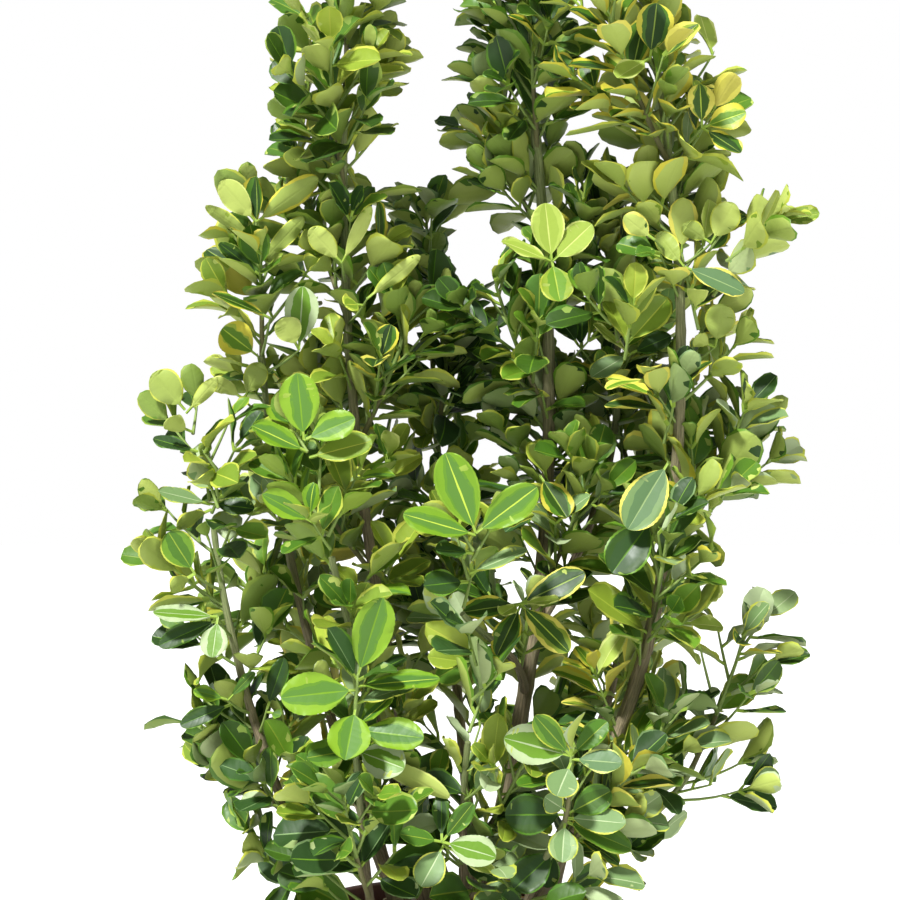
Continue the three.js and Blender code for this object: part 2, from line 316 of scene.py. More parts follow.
# The sunk midrib and fainter side veins of a leaf, from its own map.
def makeLeafVeins():
    group, given, out = nodeGroup(
        "leafVeins",
        [("Side Veins", "NodeSocketFloat", 7.0), ("Vein Slope", "NodeSocketFloat", 2.2)],
        ["Height"],
    )
    nodes, links = group.nodes, group.links
    leafMap = nodes.new("ShaderNodeUVMap")
    leafMap.uv_map = "leafMap"
    axes = nodes.new("ShaderNodeSeparateXYZ")
    links.new(leafMap.outputs[0], axes.inputs[0])
    fromRib = mathNode(nodes, links, "ABSOLUTE", mathNode(nodes, links, "SUBTRACT", axes.outputs[0], 0.5))
    ribDip = ranged(nodes, links, fromRib, 0.0, 0.07, -0.8, 0.0)
    along = mathNode(nodes, links, "MULTIPLY", axes.outputs[1], given.outputs["Side Veins"])
    lean = mathNode(nodes, links, "MULTIPLY", fromRib, given.outputs["Vein Slope"])
    wave = mathNode(nodes, links, "PINGPONG", mathNode(nodes, links, "SUBTRACT", along, lean), 0.5)
    veinDip = ranged(nodes, links, wave, 0.0, 0.3, -0.22, 0.0)
    links.new(mathNode(nodes, links, "ADD", ribDip, veinDip), out.inputs["Height"])
    return group


# Lengthwise ridges and broad patches, from each limb's own unrolled place.
def makeWoodGrain():
    group, given, out = nodeGroup(
        "woodGrain",
        [("Around", "NodeSocketFloat", 3.0), ("Along", "NodeSocketFloat", 30.0)],
        ["Ridges", "Patches"],
    )
    nodes, links = group.nodes, group.links
    place = nodes.new("ShaderNodeAttribute")
    place.attribute_name = "limbPlace"
    stretch = nodes.new("ShaderNodeCombineXYZ")
    for k, title in enumerate(("Around", "Around", "Along")):
        links.new(given.outputs[title], stretch.inputs[k])
    scaled = nodes.new("ShaderNodeVectorMath")
    scaled.operation = "MULTIPLY"
    links.new(place.outputs["Vector"], scaled.inputs[0])
    links.new(stretch.outputs[0], scaled.inputs[1])
    for title, scale, low, high in (("Ridges", 1.0, 0.38, 0.62), ("Patches", 0.35, 0.4, 0.6)):
        texture = nodes.new("ShaderNodeTexNoise")
        texture.inputs["Scale"].default_value = scale
        texture.inputs["Detail"].default_value = 5
        texture.inputs["Roughness"].default_value = 0.65
        links.new(scaled.outputs[0], texture.inputs["Vector"])
        links.new(ranged(nodes, links, texture.outputs[0], low, high), out.inputs[title])
    return group


groups = dict(patches=makePatches(), leafVeins=makeLeafVeins(), woodGrain=makeWoodGrain())


def placeGroup(nodes, name, **values):
    node = nodes.new("ShaderNodeGroup")
    node.node_tree = groups[name]
    for title, value in values.items():
        node.inputs[title.replace("_", " ")].default_value = value
    return node.outputs


def bumped(nodes, links, shader, height, distance, strength):
    bump = nodes.new("ShaderNodeBump")
    bump.inputs["Distance"].default_value = distance
    bump.inputs["Strength"].default_value = strength
    links.new(height, bump.inputs["Height"])
    links.new(bump.outputs[0], shader.inputs["Normal"])


potLook = dict(
    blotches=22.0, specks=900.0, plastic=("481c1b", "502120"), dustAndHighlight="70453f",
    rimHighlightHeights=(0.17, 0.22), rimHighlightShares=(0.1, 0.75), roughness=(0.42, 0.6), relief=(0.0002, 0.3))


# Maroon plastic with dust blotches near the rim, which also lighten the rim there as a painted highlight.
def potMaterial():
    look = potLook
    material, nodes, links, shader = newMaterial("maroonPlastic")
    dustAndHighlight = placeGroup(nodes, "patches", Blotch_Scale=look["blotches"], Speck_Scale=look["specks"])
    axes = nodes.new("ShaderNodeSeparateXYZ")
    links.new(nodes.new("ShaderNodeTexCoord").outputs["Object"], axes.inputs[0])
    # Painted highlight: the dust blotches are kept near the rim, so the rim reads lighter.
    rimHighlight = ranged(nodes, links, axes.outputs[2], *look["rimHighlightHeights"], *look["rimHighlightShares"])
    dustAndRimHighlight = mathNode(nodes, links, "MULTIPLY", dustAndHighlight["Blotches"], rimHighlight)
    plastic = mixed(nodes, links, dustAndHighlight["Specks"], *look["plastic"])
    links.new(mixed(nodes, links, dustAndRimHighlight, plastic, look["dustAndHighlight"]), shader.inputs["Base Color"])
    links.new(ranged(nodes, links, dustAndHighlight["Blotches"], 0, 1, *look["roughness"]), shader.inputs["Roughness"])
    bumped(nodes, links, shader, dustAndHighlight["Specks"], *look["relief"])
    return material


soilLook = dict(
    blotches=90.0, specks=700.0, damp=("2f2118", "5c4431"), dry="7a5f42", roughness=(0.85, 1),
    relief=(0.001, 0.8))


def soilMaterial():
    look = soilLook
    material, nodes, links, shader = newMaterial("crumblySoil")
    crumbs = placeGroup(nodes, "patches", Blotch_Scale=look["blotches"], Speck_Scale=look["specks"])
    damp = mixed(nodes, links, crumbs["Blotches"], *look["damp"])
    links.new(mixed(nodes, links, crumbs["Specks"], damp, look["dry"]), shader.inputs["Base Color"])
    links.new(ranged(nodes, links, crumbs["Specks"], 0, 1, *look["roughness"]), shader.inputs["Roughness"])
    bumped(nodes, links, shader, crumbs["Specks"], *look["relief"])
    return material


barkLook = dict(
    around=3.0, along=45.0, old=("4c4232", "a69577"), worn="7e7558", young=("6d7a48", "8c9662"),
    roughness=(0.9, 0.7), relief=(0.0006, 0.7))


def barkMaterial():
    look = barkLook
    material, nodes, links, shader = newMaterial("ridgedBark")
    grain = placeGroup(nodes, "woodGrain", Around=look["around"], Along=look["along"])
    youth = nodes.new("ShaderNodeAttribute")
    youth.attribute_name = "youth"
    old = mixed(nodes, links, grain["Ridges"], *look["old"])
    worn = mixed(nodes, links, grain["Patches"], old, look["worn"])
    young = mixed(nodes, links, grain["Ridges"], *look["young"])
    links.new(mixed(nodes, links, youth.outputs["Fac"], worn, young), shader.inputs["Base Color"])
    links.new(ranged(nodes, links, grain["Ridges"], 0, 1, *look["roughness"]), shader.inputs["Roughness"])
    bumped(nodes, links, shader, grain["Ridges"], *look["relief"])
    return material


plainLook = dict(
    specular=0.3, blotches=70.0, specks=900.0, relief=0.0004, strength=0.3,
    sideVeins=7.0, veinSlope=2.2, swell=0.5, veinStrength=0.4)


# One plain colour, with a waxy or dusty shine that varies and a fine relief.
def plainFinish(name, code, smooth, rough, veins=False):
    look = plainLook
    material, nodes, links, shader = newMaterial(name)
    shader.inputs["Base Color"].default_value = colour(code)
    shader.inputs["Specular IOR Level"].default_value = look["specular"]
    wax = placeGroup(nodes, "patches", Blotch_Scale=look["blotches"], Speck_Scale=look["specks"])
    links.new(ranged(nodes, links, wax["Blotches"], 0, 1, smooth, rough), shader.inputs["Roughness"])
    relief, strength = wax["Specks"], look["strength"]
    if veins:
        own = placeGroup(nodes, "leafVeins", Side_Veins=look["sideVeins"], Vein_Slope=look["veinSlope"])
        swell = mathNode(nodes, links, "MULTIPLY", wax["Blotches"], look["swell"])
        relief, strength = mathNode(nodes, links, "ADD", own["Height"], swell), look["veinStrength"]
    bumped(nodes, links, shader, relief, look["relief"], strength)
    return material


# Turned solids, drawn upwards ring by ring from a profile of (radius, height)

def turned(name, sides, profile):
    radius, height = profile[0]
    bpy.ops.mesh.primitive_circle_add(
        vertices=sides, radius=radius, fill_type="NGON", location=(0, 0, height))
    piece = bpy.context.object
    piece.name = piece.data.name = name
    bpy.ops.object.transform_apply(location=True, rotation=True, scale=True)
    bpy.ops.object.mode_set(mode="EDIT")
    for nextRadius, nextHeight in profile[1:]:
        bpy.ops.mesh.extrude_region_move(
            TRANSFORM_OT_translate={"value": (0, 0, nextHeight - height)})
        grow = nextRadius / radius
        bpy.ops.transform.resize(value=(grow, grow, 1), center_override=(0, 0, nextHeight))
        radius, height = nextRadius, nextHeight
    return piece


def finishTurning():
    bpy.ops.mesh.select_all(action="SELECT")
    bpy.ops.mesh.normals_make_consistent(inside=False)
    bpy.ops.object.mode_set(mode="OBJECT")


# The pot: a foot, a sloping wall with two moulded rings, a rolled rim and four drain holes

potMaker = dict(
    sides=96,
    profile=[
        (0.0905, 0.0), (0.092, 0.0015), (0.0922, 0.006), (0.0935, 0.0075), (0.1045, 0.1),
        (0.1052, 0.101), (0.1057, 0.105), (0.1056, 0.107), (0.1148, 0.186), (0.1158, 0.1935),
        (0.1198, 0.1945), (0.1212, 0.1955), (0.1238, 0.2125), (0.1248, 0.2155), (0.125, 0.2175),
        (0.1244, 0.2192), (0.123, 0.22),  # the top of the rim, and down the inside from here
        (0.117, 0.22), (0.1156, 0.2192), (0.115, 0.2175), (0.1148, 0.212), (0.1131, 0.195),
        (0.113, 0.192), (0.0892, 0.0042), (0.088, 0.003),
    ],
    holes=4, holeSides=32, holeRadius=0.007, holeDepth=0.012, holeCircle=0.062,
    bevel=0.0004, bevelOver=50, smoothUnder=40,
)


def addPot():
    make = potMaker
    pot = turned("pot_shell", make["sides"], make["profile"])
    finishTurning()
    cutters = []
    for k in range(make["holes"]):
        turn = (k + 0.5) * 2 * math.pi / make["holes"]
        spot = (make["holeCircle"] * math.cos(turn), make["holeCircle"] * math.sin(turn), 0)
        bpy.ops.mesh.primitive_cylinder_add(
            vertices=make["holeSides"], radius=make["holeRadius"], depth=make["holeDepth"], location=spot)
        cutters.append(bpy.context.object)
    for cutter in cutters:
        cutter.select_set(True)
    bpy.ops.object.join()
    cutter = bpy.context.object
    onlySelect(pot)
    cut = pot.modifiers.new("drain", "BOOLEAN")
    cut.object = cutter
    cut.solver = "EXACT"
    bpy.ops.object.modifier_apply(modifier=cut.name)
    bpy.data.objects.remove(cutter)
    soften = pot.modifiers.new("soften", "BEVEL")
    soften.width = make["bevel"]
    soften.limit_method = "ANGLE"
    soften.angle_limit = math.radians(make["bevelOver"])
    bpy.ops.object.modifier_apply(modifier=soften.name)
    bpy.ops.object.shade_smooth_by_angle(angle=math.radians(make["smoothUnder"]))
    pot.data.materials.append(potMaterial())
    dress(pot, "pot", "pot")
    print("pot turned:", len(pot.data.polygons), "faces")


# The soil: a bed that rises to the stems, with loose crumbs on it

soilMaker = dict(
    sides=96, rings=26, ringSlack=1.5, profile=[(0.0885, 0.0034), (0.1124, 0.194), (0.1118, 0.2065)],
    mound=0.008, grain=(38, 3.1, 0.0032), fineGrain=(150, 7.7, 0.0014), smoothUnder=60,
    crumbs=620, crumbSizes=(0.0014, 0.0052), crumbStretch=((1, 0.8), (1, 0.3), (0.6, 0.3)),
    crumbReach=0.107, crumbSettles=0.25, crumbRough=0.22, crumbSmoothUnder=30, crumbRoughness=(0.85, 1.0),
    tones=("4b3626", "6b5038", "9a7c4e", "8f8676"), tonePower=1.4, seed=5,
)


def soilHeight(x, y):
    topRadius, top = soilMaker["profile"][-1]
    fromMiddle = min(math.hypot(x, y) / topRadius, 1)
    coarse, fine = (
        noise.noise(Vector((x * scale, y * scale, layer))) * height
        for scale, layer, height in (soilMaker["grain"], soilMaker["fineGrain"]))
    return top + soilMaker["mound"] * (1 - fromMiddle**2) + coarse + fine


def addSoil():
    make = soilMaker
    soil = turned("soil_bed", make["sides"], make["profile"])
    topRadius, top = make["profile"][-1]
    for _ in range(make["rings"]):
        bpy.ops.mesh.inset(thickness=topRadius / (make["rings"] + make["ringSlack"]), depth=0)
    bpy.ops.mesh.poke()
    finishTurning()
    for vertex in soil.data.vertices:
        if vertex.co.z > top - 1e-4:
            vertex.co.z = soilHeight(vertex.co.x, vertex.co.y)
    bpy.ops.object.shade_smooth_by_angle(angle=math.radians(make["smoothUnder"]))
    soil.data.materials.append(soilMaterial())
    dress(soil, "soil", "soil")
    addCrumbs()


def addCrumbs():
    make = soilMaker
    draw = seededRandom(make["seed"])
    bpy.ops.mesh.primitive_ico_sphere_add(subdivisions=1, radius=1)
    ball = bpy.context.object
    shape = np.array([v.co for v in ball.data.vertices])
    shapeFaces = [list(p.vertices) for p in ball.data.polygons]
    bpy.data.objects.remove(ball)
    low, high = make["crumbSizes"]
    tones = make["tones"]
    points, faces, slots = [], [], []
    for _ in range(make["crumbs"]):
        reach = make["crumbReach"] * math.sqrt(draw())
        turn = 2 * math.pi * draw()
        x, y = reach * math.cos(turn), reach * math.sin(turn)
        size = low + (high - low) * draw() ** 3
        stretch = np.array([drawn(draw, *way) for way in make["crumbStretch"]]) * size
        rough = np.array([1 + spreadOf(draw, make["crumbRough"]) for _ in shape])[:, None]
        spin = 2 * math.pi * draw()
        local = shape * rough * stretch
        local[:, 1], local[:, 0] = rotated(local[:, 1], local[:, 0], math.cos(spin), math.sin(spin))
        first = len(points)
        points += (local + np.array([x, y, soilHeight(x, y) + size * make["crumbSettles"]])).tolist()
        faces += [[first + i for i in face] for face in shapeFaces]
        slots += [min(int(len(tones) * draw() ** make["tonePower"]), len(tones) - 1)] * len(shapeFaces)
    finishes = [plainFinish(f"crumb{k}", tone, *make["crumbRoughness"]) for k, tone in enumerate(tones)]
    dress(meshPiece("soil_crumbs", points, faces, slots, finishes, make["crumbSmoothUnder"]), "soil")
    print("soil laid:", make["crumbs"], "crumbs")


# The stems and boughs, by the same rule as the solids

# In millimetres: the foot, or the parent and how far up it in hundredths; the two places that the
# limb bends to; its tip; its radii in tenths; and the reach of its top shoot. Then its side shoots:
# how many, from which hundredth of it, their reach, and the first one's bearing.
limbTable = dict(
    centre_leader=((20, 15), (14, 18, 330), (98, 34, 420), (46, 38, 872), (70, 34), 122, 6, 37, 96, 302),
    right_leader=(
        (40, -18), (56, -20, 268), (208, -50, 400), (138, -42, 850), (64, 28), 106, 6, 33, 108, 260),
    left_leader=((-10, 34), (-38, 34, 300), (-104, 44, 520), (-92, 14, 838), (56, 26), 104, 4, 42, 96, 208),
    left_outer=((-48, 14), (-84, 20, 300), (-144, 60, 440), (-158, 50, 636), (48, 24), 98),
    left_middle=((-26, -20), (-44, -30, 300), (-82, -58, 410), (-98, -72, 486), (50, 24), 124),
    far_left=(
        (-86, -12), (-130, -16, 262), (-176, -22, 390), (-190, -8, 510), (48, 22), 100, 2, 30, 78, 150),
    front_left=(
        (-66, -66), (-74, -80, 260), (-76, -92, 310), (-80, -98, 350), (38, 22), 104, 1, 24, 100, 262),
    centre_front=((-2, -40), (-4, -56, 270), (-4, -84, 320), (0, -98, 356), (40, 22), 104, 1, 39, 86, 338),
    front_right=((34, -66), (42, -84, 250), (56, -104, 276), (68, -112, 302), (38, 22), 104, 1, 56, 86, 28),
    right_low=((72, 0), (92, -2, 268), (148, -10, 284), (168, -16, 328), (46, 22), 98, 1, 48, 96, 218),
    back_right=((62, 44), (84, 66, 300), (140, 116, 400), (142, 110, 560), (50, 24), 110, 2, 36, 112, 90),
    back_centre=((8, 66), (2, 92, 300), (-16, 130, 430), (-26, 112, 620), (50, 24), 116, 2, 42, 108, 150),
    back_left=(
        (-52, 56), (-80, 88, 300), (-118, 126, 380), (-116, 122, 500), (48, 23), 122, 1, 55, 108, 180),
    centre_bough=(
        ("centre_leader", 33), (84, 34, 478), (122, 50, 540), (116, 44, 640), (42, 23), 100, 1, 45, 94, 12),
    front_bough=(("centre_leader", 26), (42, -22, 416), (10, -64, 426), (-4, -84, 446), (36, 21), 124),
)


def limbOf(foot, rise, bend, tip, radii, crown, shoots=0, start=0, reach=0, turn=0):
    parent, up = foot if isinstance(foot[0], str) else (None, 0)
    foot = (0, 0) if parent else foot
    foot, rise, bend, tip = (np.array(place) / 1000 for place in (foot, rise, bend, tip))
    return dict(
        parent=parent, up=up / 100, foot=foot, rise=rise, bend=bend, tip=tip, radii=np.array(radii) / 10000,
        crown=crown / 1000, shoots=shoots, start=start / 100, reach=reach / 1000, turn=turn)


stems = {name: limbOf(*row) for name, row in limbTable.items()}
barkMaker = dict(
    sides=14, ringStep=0.006, mostRings=100, soilLevel=0.211, footDepth=0.006,
    flareGrowth=0.45, flareFade=22, taperPower=0.85,
    ridge=0.1, ridges=((1.7, 16, 1), (4, 45, 0.6)), knot=0.12, knotStep=0.026, knotWidth=0.0022,
    greenFrom=0.52, greenOver=0.3, greenUneven=0.4, smoothUnder=70,
)


def limbRadius(limb, share):
    make = barkMaker
    thick, thin = limb["radii"]
    flare = 0 if limb["parent"] else make["flareGrowth"] * math.exp(-share * make["flareFade"])
    return thick + (thin - thick) * share ** make["taperPower"] + thick * flare


def limbPath(limb):
    foot = (*limb["foot"], barkMaker["soilLevel"] - barkMaker["footDepth"])
    if limb["parent"]:
        foot = pointAt(stems[limb["parent"]]["path"], limb["up"])
    return pathOf(foot, limb["rise"], limb["bend"], limb["tip"], samples=200)


def addBark(name, limb, finish):
    make = barkMaker
    path = limb["path"]
    rings = min(int(path["length"] / make["ringStep"]), make["mostRings"])
    bpy.ops.mesh.primitive_cylinder_add(
        vertices=make["sides"], radius=1, depth=1, end_fill_type="NGON")
    bark = bpy.context.object
    bark.name = bark.data.name = f"{name}_bark"
    bpy.ops.object.mode_set(mode="EDIT")
    bpy.ops.mesh.select_mode(type="EDGE")
    bpy.ops.mesh.select_all(action="DESELECT")
    bpy.ops.object.mode_set(mode="OBJECT")
    for edge in bark.data.edges:
        low, high = (bark.data.vertices[v].co.z for v in edge.vertices)
        edge.select = abs(high - low) > 0.5
    bpy.ops.object.mode_set(mode="EDIT")
    bpy.ops.mesh.subdivide(number_cuts=rings - 1)
    bpy.ops.object.mode_set(mode="OBJECT")
    frames = framesAlong(path, np.linspace(0, 1, rings + 1))
    places, youth = [], []
    for vertex in bark.data.vertices:
        ring = round((vertex.co.z + 0.5) * rings)
        share = ring / rings
        x, y = vertex.co.x, vertex.co.y
        run = share * path["length"]
        ridge = 0
        for around, along, part in make["ridges"]:
            place = Vector((x * around, y * around, run * along + limb["seed"]))
            ridge += noise.noise(place) * make["ridge"] * part
        halfStep = 0.5 * make["knotStep"]
        toKnot = abs((run + halfStep) % make["knotStep"] - halfStep)
        knot = make["knot"] * math.exp(-((toKnot / make["knotWidth"]) ** 2))
        middle, first, second = frames[ring]
        vertex.co = middle + (first * x + second * y) * limbRadius(limb, share) * (1 + ridge + knot)
        places.append((x, y, run))
        greenness = (share - make["greenFrom"]) / make["greenOver"]
        youth.append(min(max(greenness + make["greenUneven"] * ridge, 0), 1))
    store = bark.data.attributes.new("limbPlace", "FLOAT_VECTOR", "POINT")
    store.data.foreach_set("vector", np.array(places).ravel())
    store = bark.data.attributes.new("youth", "FLOAT", "POINT")
    store.data.foreach_set("value", youth)
    bpy.ops.object.shade_smooth_by_angle(angle=math.radians(make["smoothUnder"]))
    bark.data.materials.append(finish)
    dress(bark, "bark", name)


def addLimbs():
    finish = barkMaterial()
    for seed, (name, limb) in enumerate(stems.items()):
        limb["seed"] = 3.7 * seed
        limb["path"] = limbPath(limb)
        addBark(name, limb, finish)
    print("limbs grown:", len(stems))


# Room: every leaf and limb marks where it is, so that later leaves keep clear

roomMaker = dict(
    cell=0.008, clear=0.0038, limbStep=0.005, near=0.05, boxSlack=0.012, sink=0.001,
    bareHigh=8, bareBehind=0.004, bareShares=(0.02, 1, 90),
)
taken = {}
placed = dict(trees=[], middles=np.empty((0, 3)))


def cellOf(point):
    return tuple(int(v // roomMaker["cell"]) for v in point)


def mark(points):
    for point in points:
        taken.setdefault(cellOf(point), []).append(point)


# Where the photo shows sky through the crown: ellipses in its pixels that leaves keep out of.
openings = [
    (428, 20, 24, 24), (436, 60, 9, 28), (418, 110, 22, 30), (412, 158, 30, 30), (478, 250, 28, 36),
    (224, 457, 15, 15), (576, 345, 22, 9), (243, 588, 10, 22), (263, 325, 13, 13), (619, 450, 8, 18),
    (210, 405, 13, 12), (627, 163, 11, 11), (269, 654, 14, 11), (482, 456, 11, 13), (415, 338, 10, 14),
    (274, 222, 8, 13), (669, 657, 8, 12), (702, 387, 13, 8), (367, 548, 7, 12), (598, 682, 11, 10),
    (509, 337, 16, 11), (375, 462, 6, 9), (209, 548, 12, 12), (290, 253, 12, 7), (486, 306, 10, 7),
    (690, 325, 12, 17), (711, 640, 14, 10), (708, 678, 26, 17), (733, 192, 15, 20), (330, 872, 8, 9),
    (312, 5, 16, 7), (728, 35, 18, 36), (728, 540, 17, 46), (172, 474, 16, 26), (165, 578, 10, 14),
    (430, 732, 8, 12), (178, 700, 22, 22), (186, 800, 26, 40), (206, 864, 30, 36), (716, 820, 30, 26),
    (458, 746, 5, 9), (469, 741, 5, 9), (467, 758, 6, 8), (468, 796, 8, 9), (491, 796, 6, 13),
    (424, 757, 6, 10), (401, 855, 8, 8), (247, 521, 16, 5), (219, 543, 4, 8), (270, 373, 5, 6),
    (250, 629, 10, 8), (233, 670, 6, 5), (727, 250, 7, 10), (599, 344, 8, 7), (604, 263, 7, 4),
    (513, 681, 6, 6), (592, 717, 6, 5), (349, 893, 34, 9), (609, 893, 17, 8),
    (372, 160, 22, 22), (384, 110, 12, 16), (209, 812, 18, 20), (684, 850, 24, 30), (258, 888, 24, 16),
    (196, 330, 16, 14), (186, 200, 16, 18), (190, 240, 10, 12), (244, 300, 9, 7), (168, 735, 20, 12),
    (726, 792, 16, 10), (736, 560, 14, 12), (160, 690, 18, 16), (256, 100, 14, 60), (446, 100, 8, 20),
    (204, 210, 14, 16), (198, 428, 14, 14), (160, 440, 12, 16), (470, 270, 20, 18),
    (500, 296, 10, 9), (232, 604, 12, 14), (726, 610, 18, 16), (738, 660, 14, 18), (738, 716, 12, 12),
    (732, 770, 16, 14), (222, 862, 14, 22), (668, 868, 16, 18),
]
keptOpen = [(x, y, wide, high, math.inf) for x, y, wide, high in openings]
keptSeen = []  # ellipses over leaves that nothing may hide
keptTables = {}  # both as arrays, once they are whole

# Stretches of limb that the photo shows bare: limb, top and bottom pixel row, half width.
bareStretches = [
    ("right_leader", 570, 735, 12), ("right_leader", 280, 342, 9), ("centre_leader", 650, 800, 11),
    ("centre_leader", 335, 410, 7), ("centre_leader", 70, 165, 8), ("centre_bough", 500, 560, 6),
    ("far_left", 590, 650, 7), ("centre_front", 705, 790, 6), ("left_outer", 560, 650, 6),
    ("front_left", 800, 870, 7),
]


def keepBare():
    make = roomMaker
    for name, top, bottom, wide in bareStretches:
        path = stems[name]["path"]
        points = np.array([pointAt(path, s) for s in np.linspace(*make["bareShares"])])
        for point, right, down in zip(points, *photoPixels(points)):
            if top < down < bottom:
                keptOpen.append((right, down, wide, make["bareHigh"], point[1] - make["bareBehind"]))


def isOpen(points, kept="all"):
    right, down = photoPixels(points)
    x, y, wide, high, depth = keptTables[kept]
    inside = ((right - x) / wide) ** 2 + ((down - y) / high) ** 2 < 1
    return not (inside & (points[:, 1] < depth)).any()


def fillKeptTables():
    keepBare()
    keptTables["seen"] = np.array(keptSeen).T[:, :, None]
    keptTables["all"] = np.array(keptOpen + keptSeen).T[:, :, None]


def isFree(points):
    for point in points:
        for cell in itertools.product(*((c - 1, c, c + 1) for c in cellOf(point))):
            for other in taken.get(cell, ()):
                if np.abs(other - point).max() < roomMaker["clear"]:
                    return False
    return True


# Shoots: each main shoot of the solids, with more and finer side shoots than they have

shootMaker = dict(
    radius=0.0021, taper=0.45, stretch=1.07, slope=1.55, lift=0.5, highest=0.88, turn=137.5, sunk=0.002,
    sideRadius=0.0014, sideSlope=0.85, sideLift=0.4, sideBend=0.25, sideVaries=0.15, sideFades=3,
    sideTurn=137.5,
    sides=[
        (0.07, 0.46), (0.18, 0.66), (0.3, 0.48), (0.42, 0.66), (0.54, 0.5), (0.66, 0.54), (0.78, 0.44),
        (0.9, 0.36)],
    spurRadius=0.0012, spurLength=(0.024, 0.05), spurStep=0.025, spurSlope=0.9, spurLift=0.2,
    spurFrom=0.2, spurTo=0.97, spurFirst=60, spurTurn=97, extraBend=0.4,
)


# The name of the mass that a shoot belongs to: the limb's top one, or one of its numbered ones.
def massOf(limb, number="top"):
    return f"{limb}_top_foliage" if number == "top" else f"{limb}_foliage_{number}"


# A path that sets off along its heading and lifts halfway.
def liftedPath(start, heading, length, lift):
    middle = start + heading * length / 2
    return pathOf(start, middle, middle + unit(heading + upwards(lift)) * length / 2)


def mainShootsOf(name, limb):
    make = shootMaker
    found = []
    for k in range(limb["shoots"]):
        share = limb["start"] + (make["highest"] - limb["start"]) * k / max(limb["shoots"] - 1, 1)
        along = tangentAt(limb["path"], share)
        out = sideways(along, limb["turn"] + make["turn"] * k)
        heading = unit(out + along * make["slope"])
        root = pointAt(limb["path"], share)
        clear = (limbRadius(limb, share) + make["radius"]) / heading.dot(out)
        path = liftedPath(root + heading * clear, heading, limb["reach"] * make["stretch"], make["lift"])
        found.append(dict(node=massOf(name, k + 1), limb=name, path=path, root=root))
    heading = tangentAt(limb["path"], 1)
    path = liftedPath(limb["tip"], heading, limb["crown"] * make["stretch"], make["lift"])
    root = limb["tip"] - heading * make["sunk"]
    found.append(dict(node=massOf(name), limb=name, path=path, root=root, top=True))
    return found


def sideShootsOf(main, draw):
    make = shootMaker
    firstTurn = 360 * draw()
    for k, (at, share) in enumerate(make["sides"]):
        length = main["path"]["length"] * share * (1 - at / make["sideFades"])
        length *= 1 + spreadOf(draw, make["sideVaries"])
        along = tangentAt(main["path"], at)
        out = sideways(along, firstTurn + make["sideTurn"] * k)
        heading = unit(out + along * make["sideSlope"] + upwards(make["sideLift"]))
        start = pointAt(main["path"], at)
        path = liftedPath(start, heading, length, make["sideBend"])
        yield dict(node=main["node"], limb=main["limb"], path=path, root=start, side=True)


# Short leafy spurs straight from the wood, between the main shoots.
def spursOf(name, limb, draw):
    make = shootMaker
    path = limb["path"]
    low, high = make["spurLength"]
    count = int(path["length"] * (1 - make["spurFrom"]) / make["spurStep"])
    for k in range(count):
        share = make["spurFrom"] + (make["spurTo"] - make["spurFrom"]) * (k + draw()) / count
        along = tangentAt(path, share)
        out = sideways(along, limb["turn"] + make["spurFirst"] + make["spurTurn"] * k)
        heading = unit(out + along * make["spurSlope"] + upwards(make["spurLift"]))
        start = pointAt(path, share)
        length = low + (high - low) * draw() + limbRadius(limb, share)
        yield dict(
            node=massOf(name), limb=name, root=start, side=True, spur=True,
            path=pathOf(start, start + heading * length / 2, start + heading * length))


# More shoots where the photo is leafy: hundredths of the limb, bearing and length in millimetres.
extras = dict(
    centre_leader=[
        (80, 150, 50), (90, 185, 55), (98, 200, 50), (62, 250, 50), (70, 300, 50), (95, 60, 50),
        (83, 180, 55), (75, 20, 50), (50, 170, 55)],
    right_leader=[
        (96, 60, 55), (84, 80, 55), (25, 200, 50), (93, 0, 65), (87, 330, 55), (62, 0, 60), (80, 180, 55),
        (97, 60, 55), (75, 350, 50)],
    left_leader=[
        (88, 250, 50), (97, 0, 50), (86, 180, 55), (93, 165, 50), (99, 60, 60), (90, 30, 60), (80, 200, 55),
        (75, 330, 50)],
    far_left=[
        (80, 185, 60), (92, 165, 55), (66, 205, 50), (20, 190, 60), (30, 260, 50), (12, 230, 60),
        (50, 180, 50)],
    front_left=[(12, 205, 50), (30, 150, 60), (45, 330, 50), (20, 190, 60)],
    centre_front=[(20, 300, 50), (35, 200, 50), (50, 60, 50), (70, 300, 50), (60, 170, 50)],
    front_right=[(15, 280, 50), (35, 330, 60), (30, 200, 50)],
    right_low=[(80, 330, 60), (90, 10, 50)],
    back_centre=[
        (65, 300, 60), (75, 200, 60), (85, 250, 60), (60, 60, 60), (70, 130, 60), (80, 330, 60),
        (90, 20, 60), (94, 170, 55), (50, 280, 60)],
    centre_bough=[(85, 250, 50)],
)


def extrasOf(name, limb):
    for up, bearing, length in extras.get(name, ()):
        along = tangentAt(limb["path"], up / 100)
        heading = unit(sideways(along, bearing) + along * shootMaker["spurSlope"])
        start = pointAt(limb["path"], up / 100)
        path = liftedPath(start, heading, length / 1000, shootMaker["extraBend"])
        yield dict(node=massOf(name), limb=name, root=start, side=True, path=path)


twigMaker = dict(
    sides=6, rings=6, bud=0.003, stretch=0.02, seenAt=(0.4, 0.6, 0.8, 1), greyBelow=0.3, smoothUnder=70,
    finishes=[("twigGrey", "74724c", 0.6, 0.8), ("twigGreen", "82994f", 0.45, 0.65)],
)

# Leaves: opposite pairs, each a quarter turn from the last, smaller and closer towards the tip

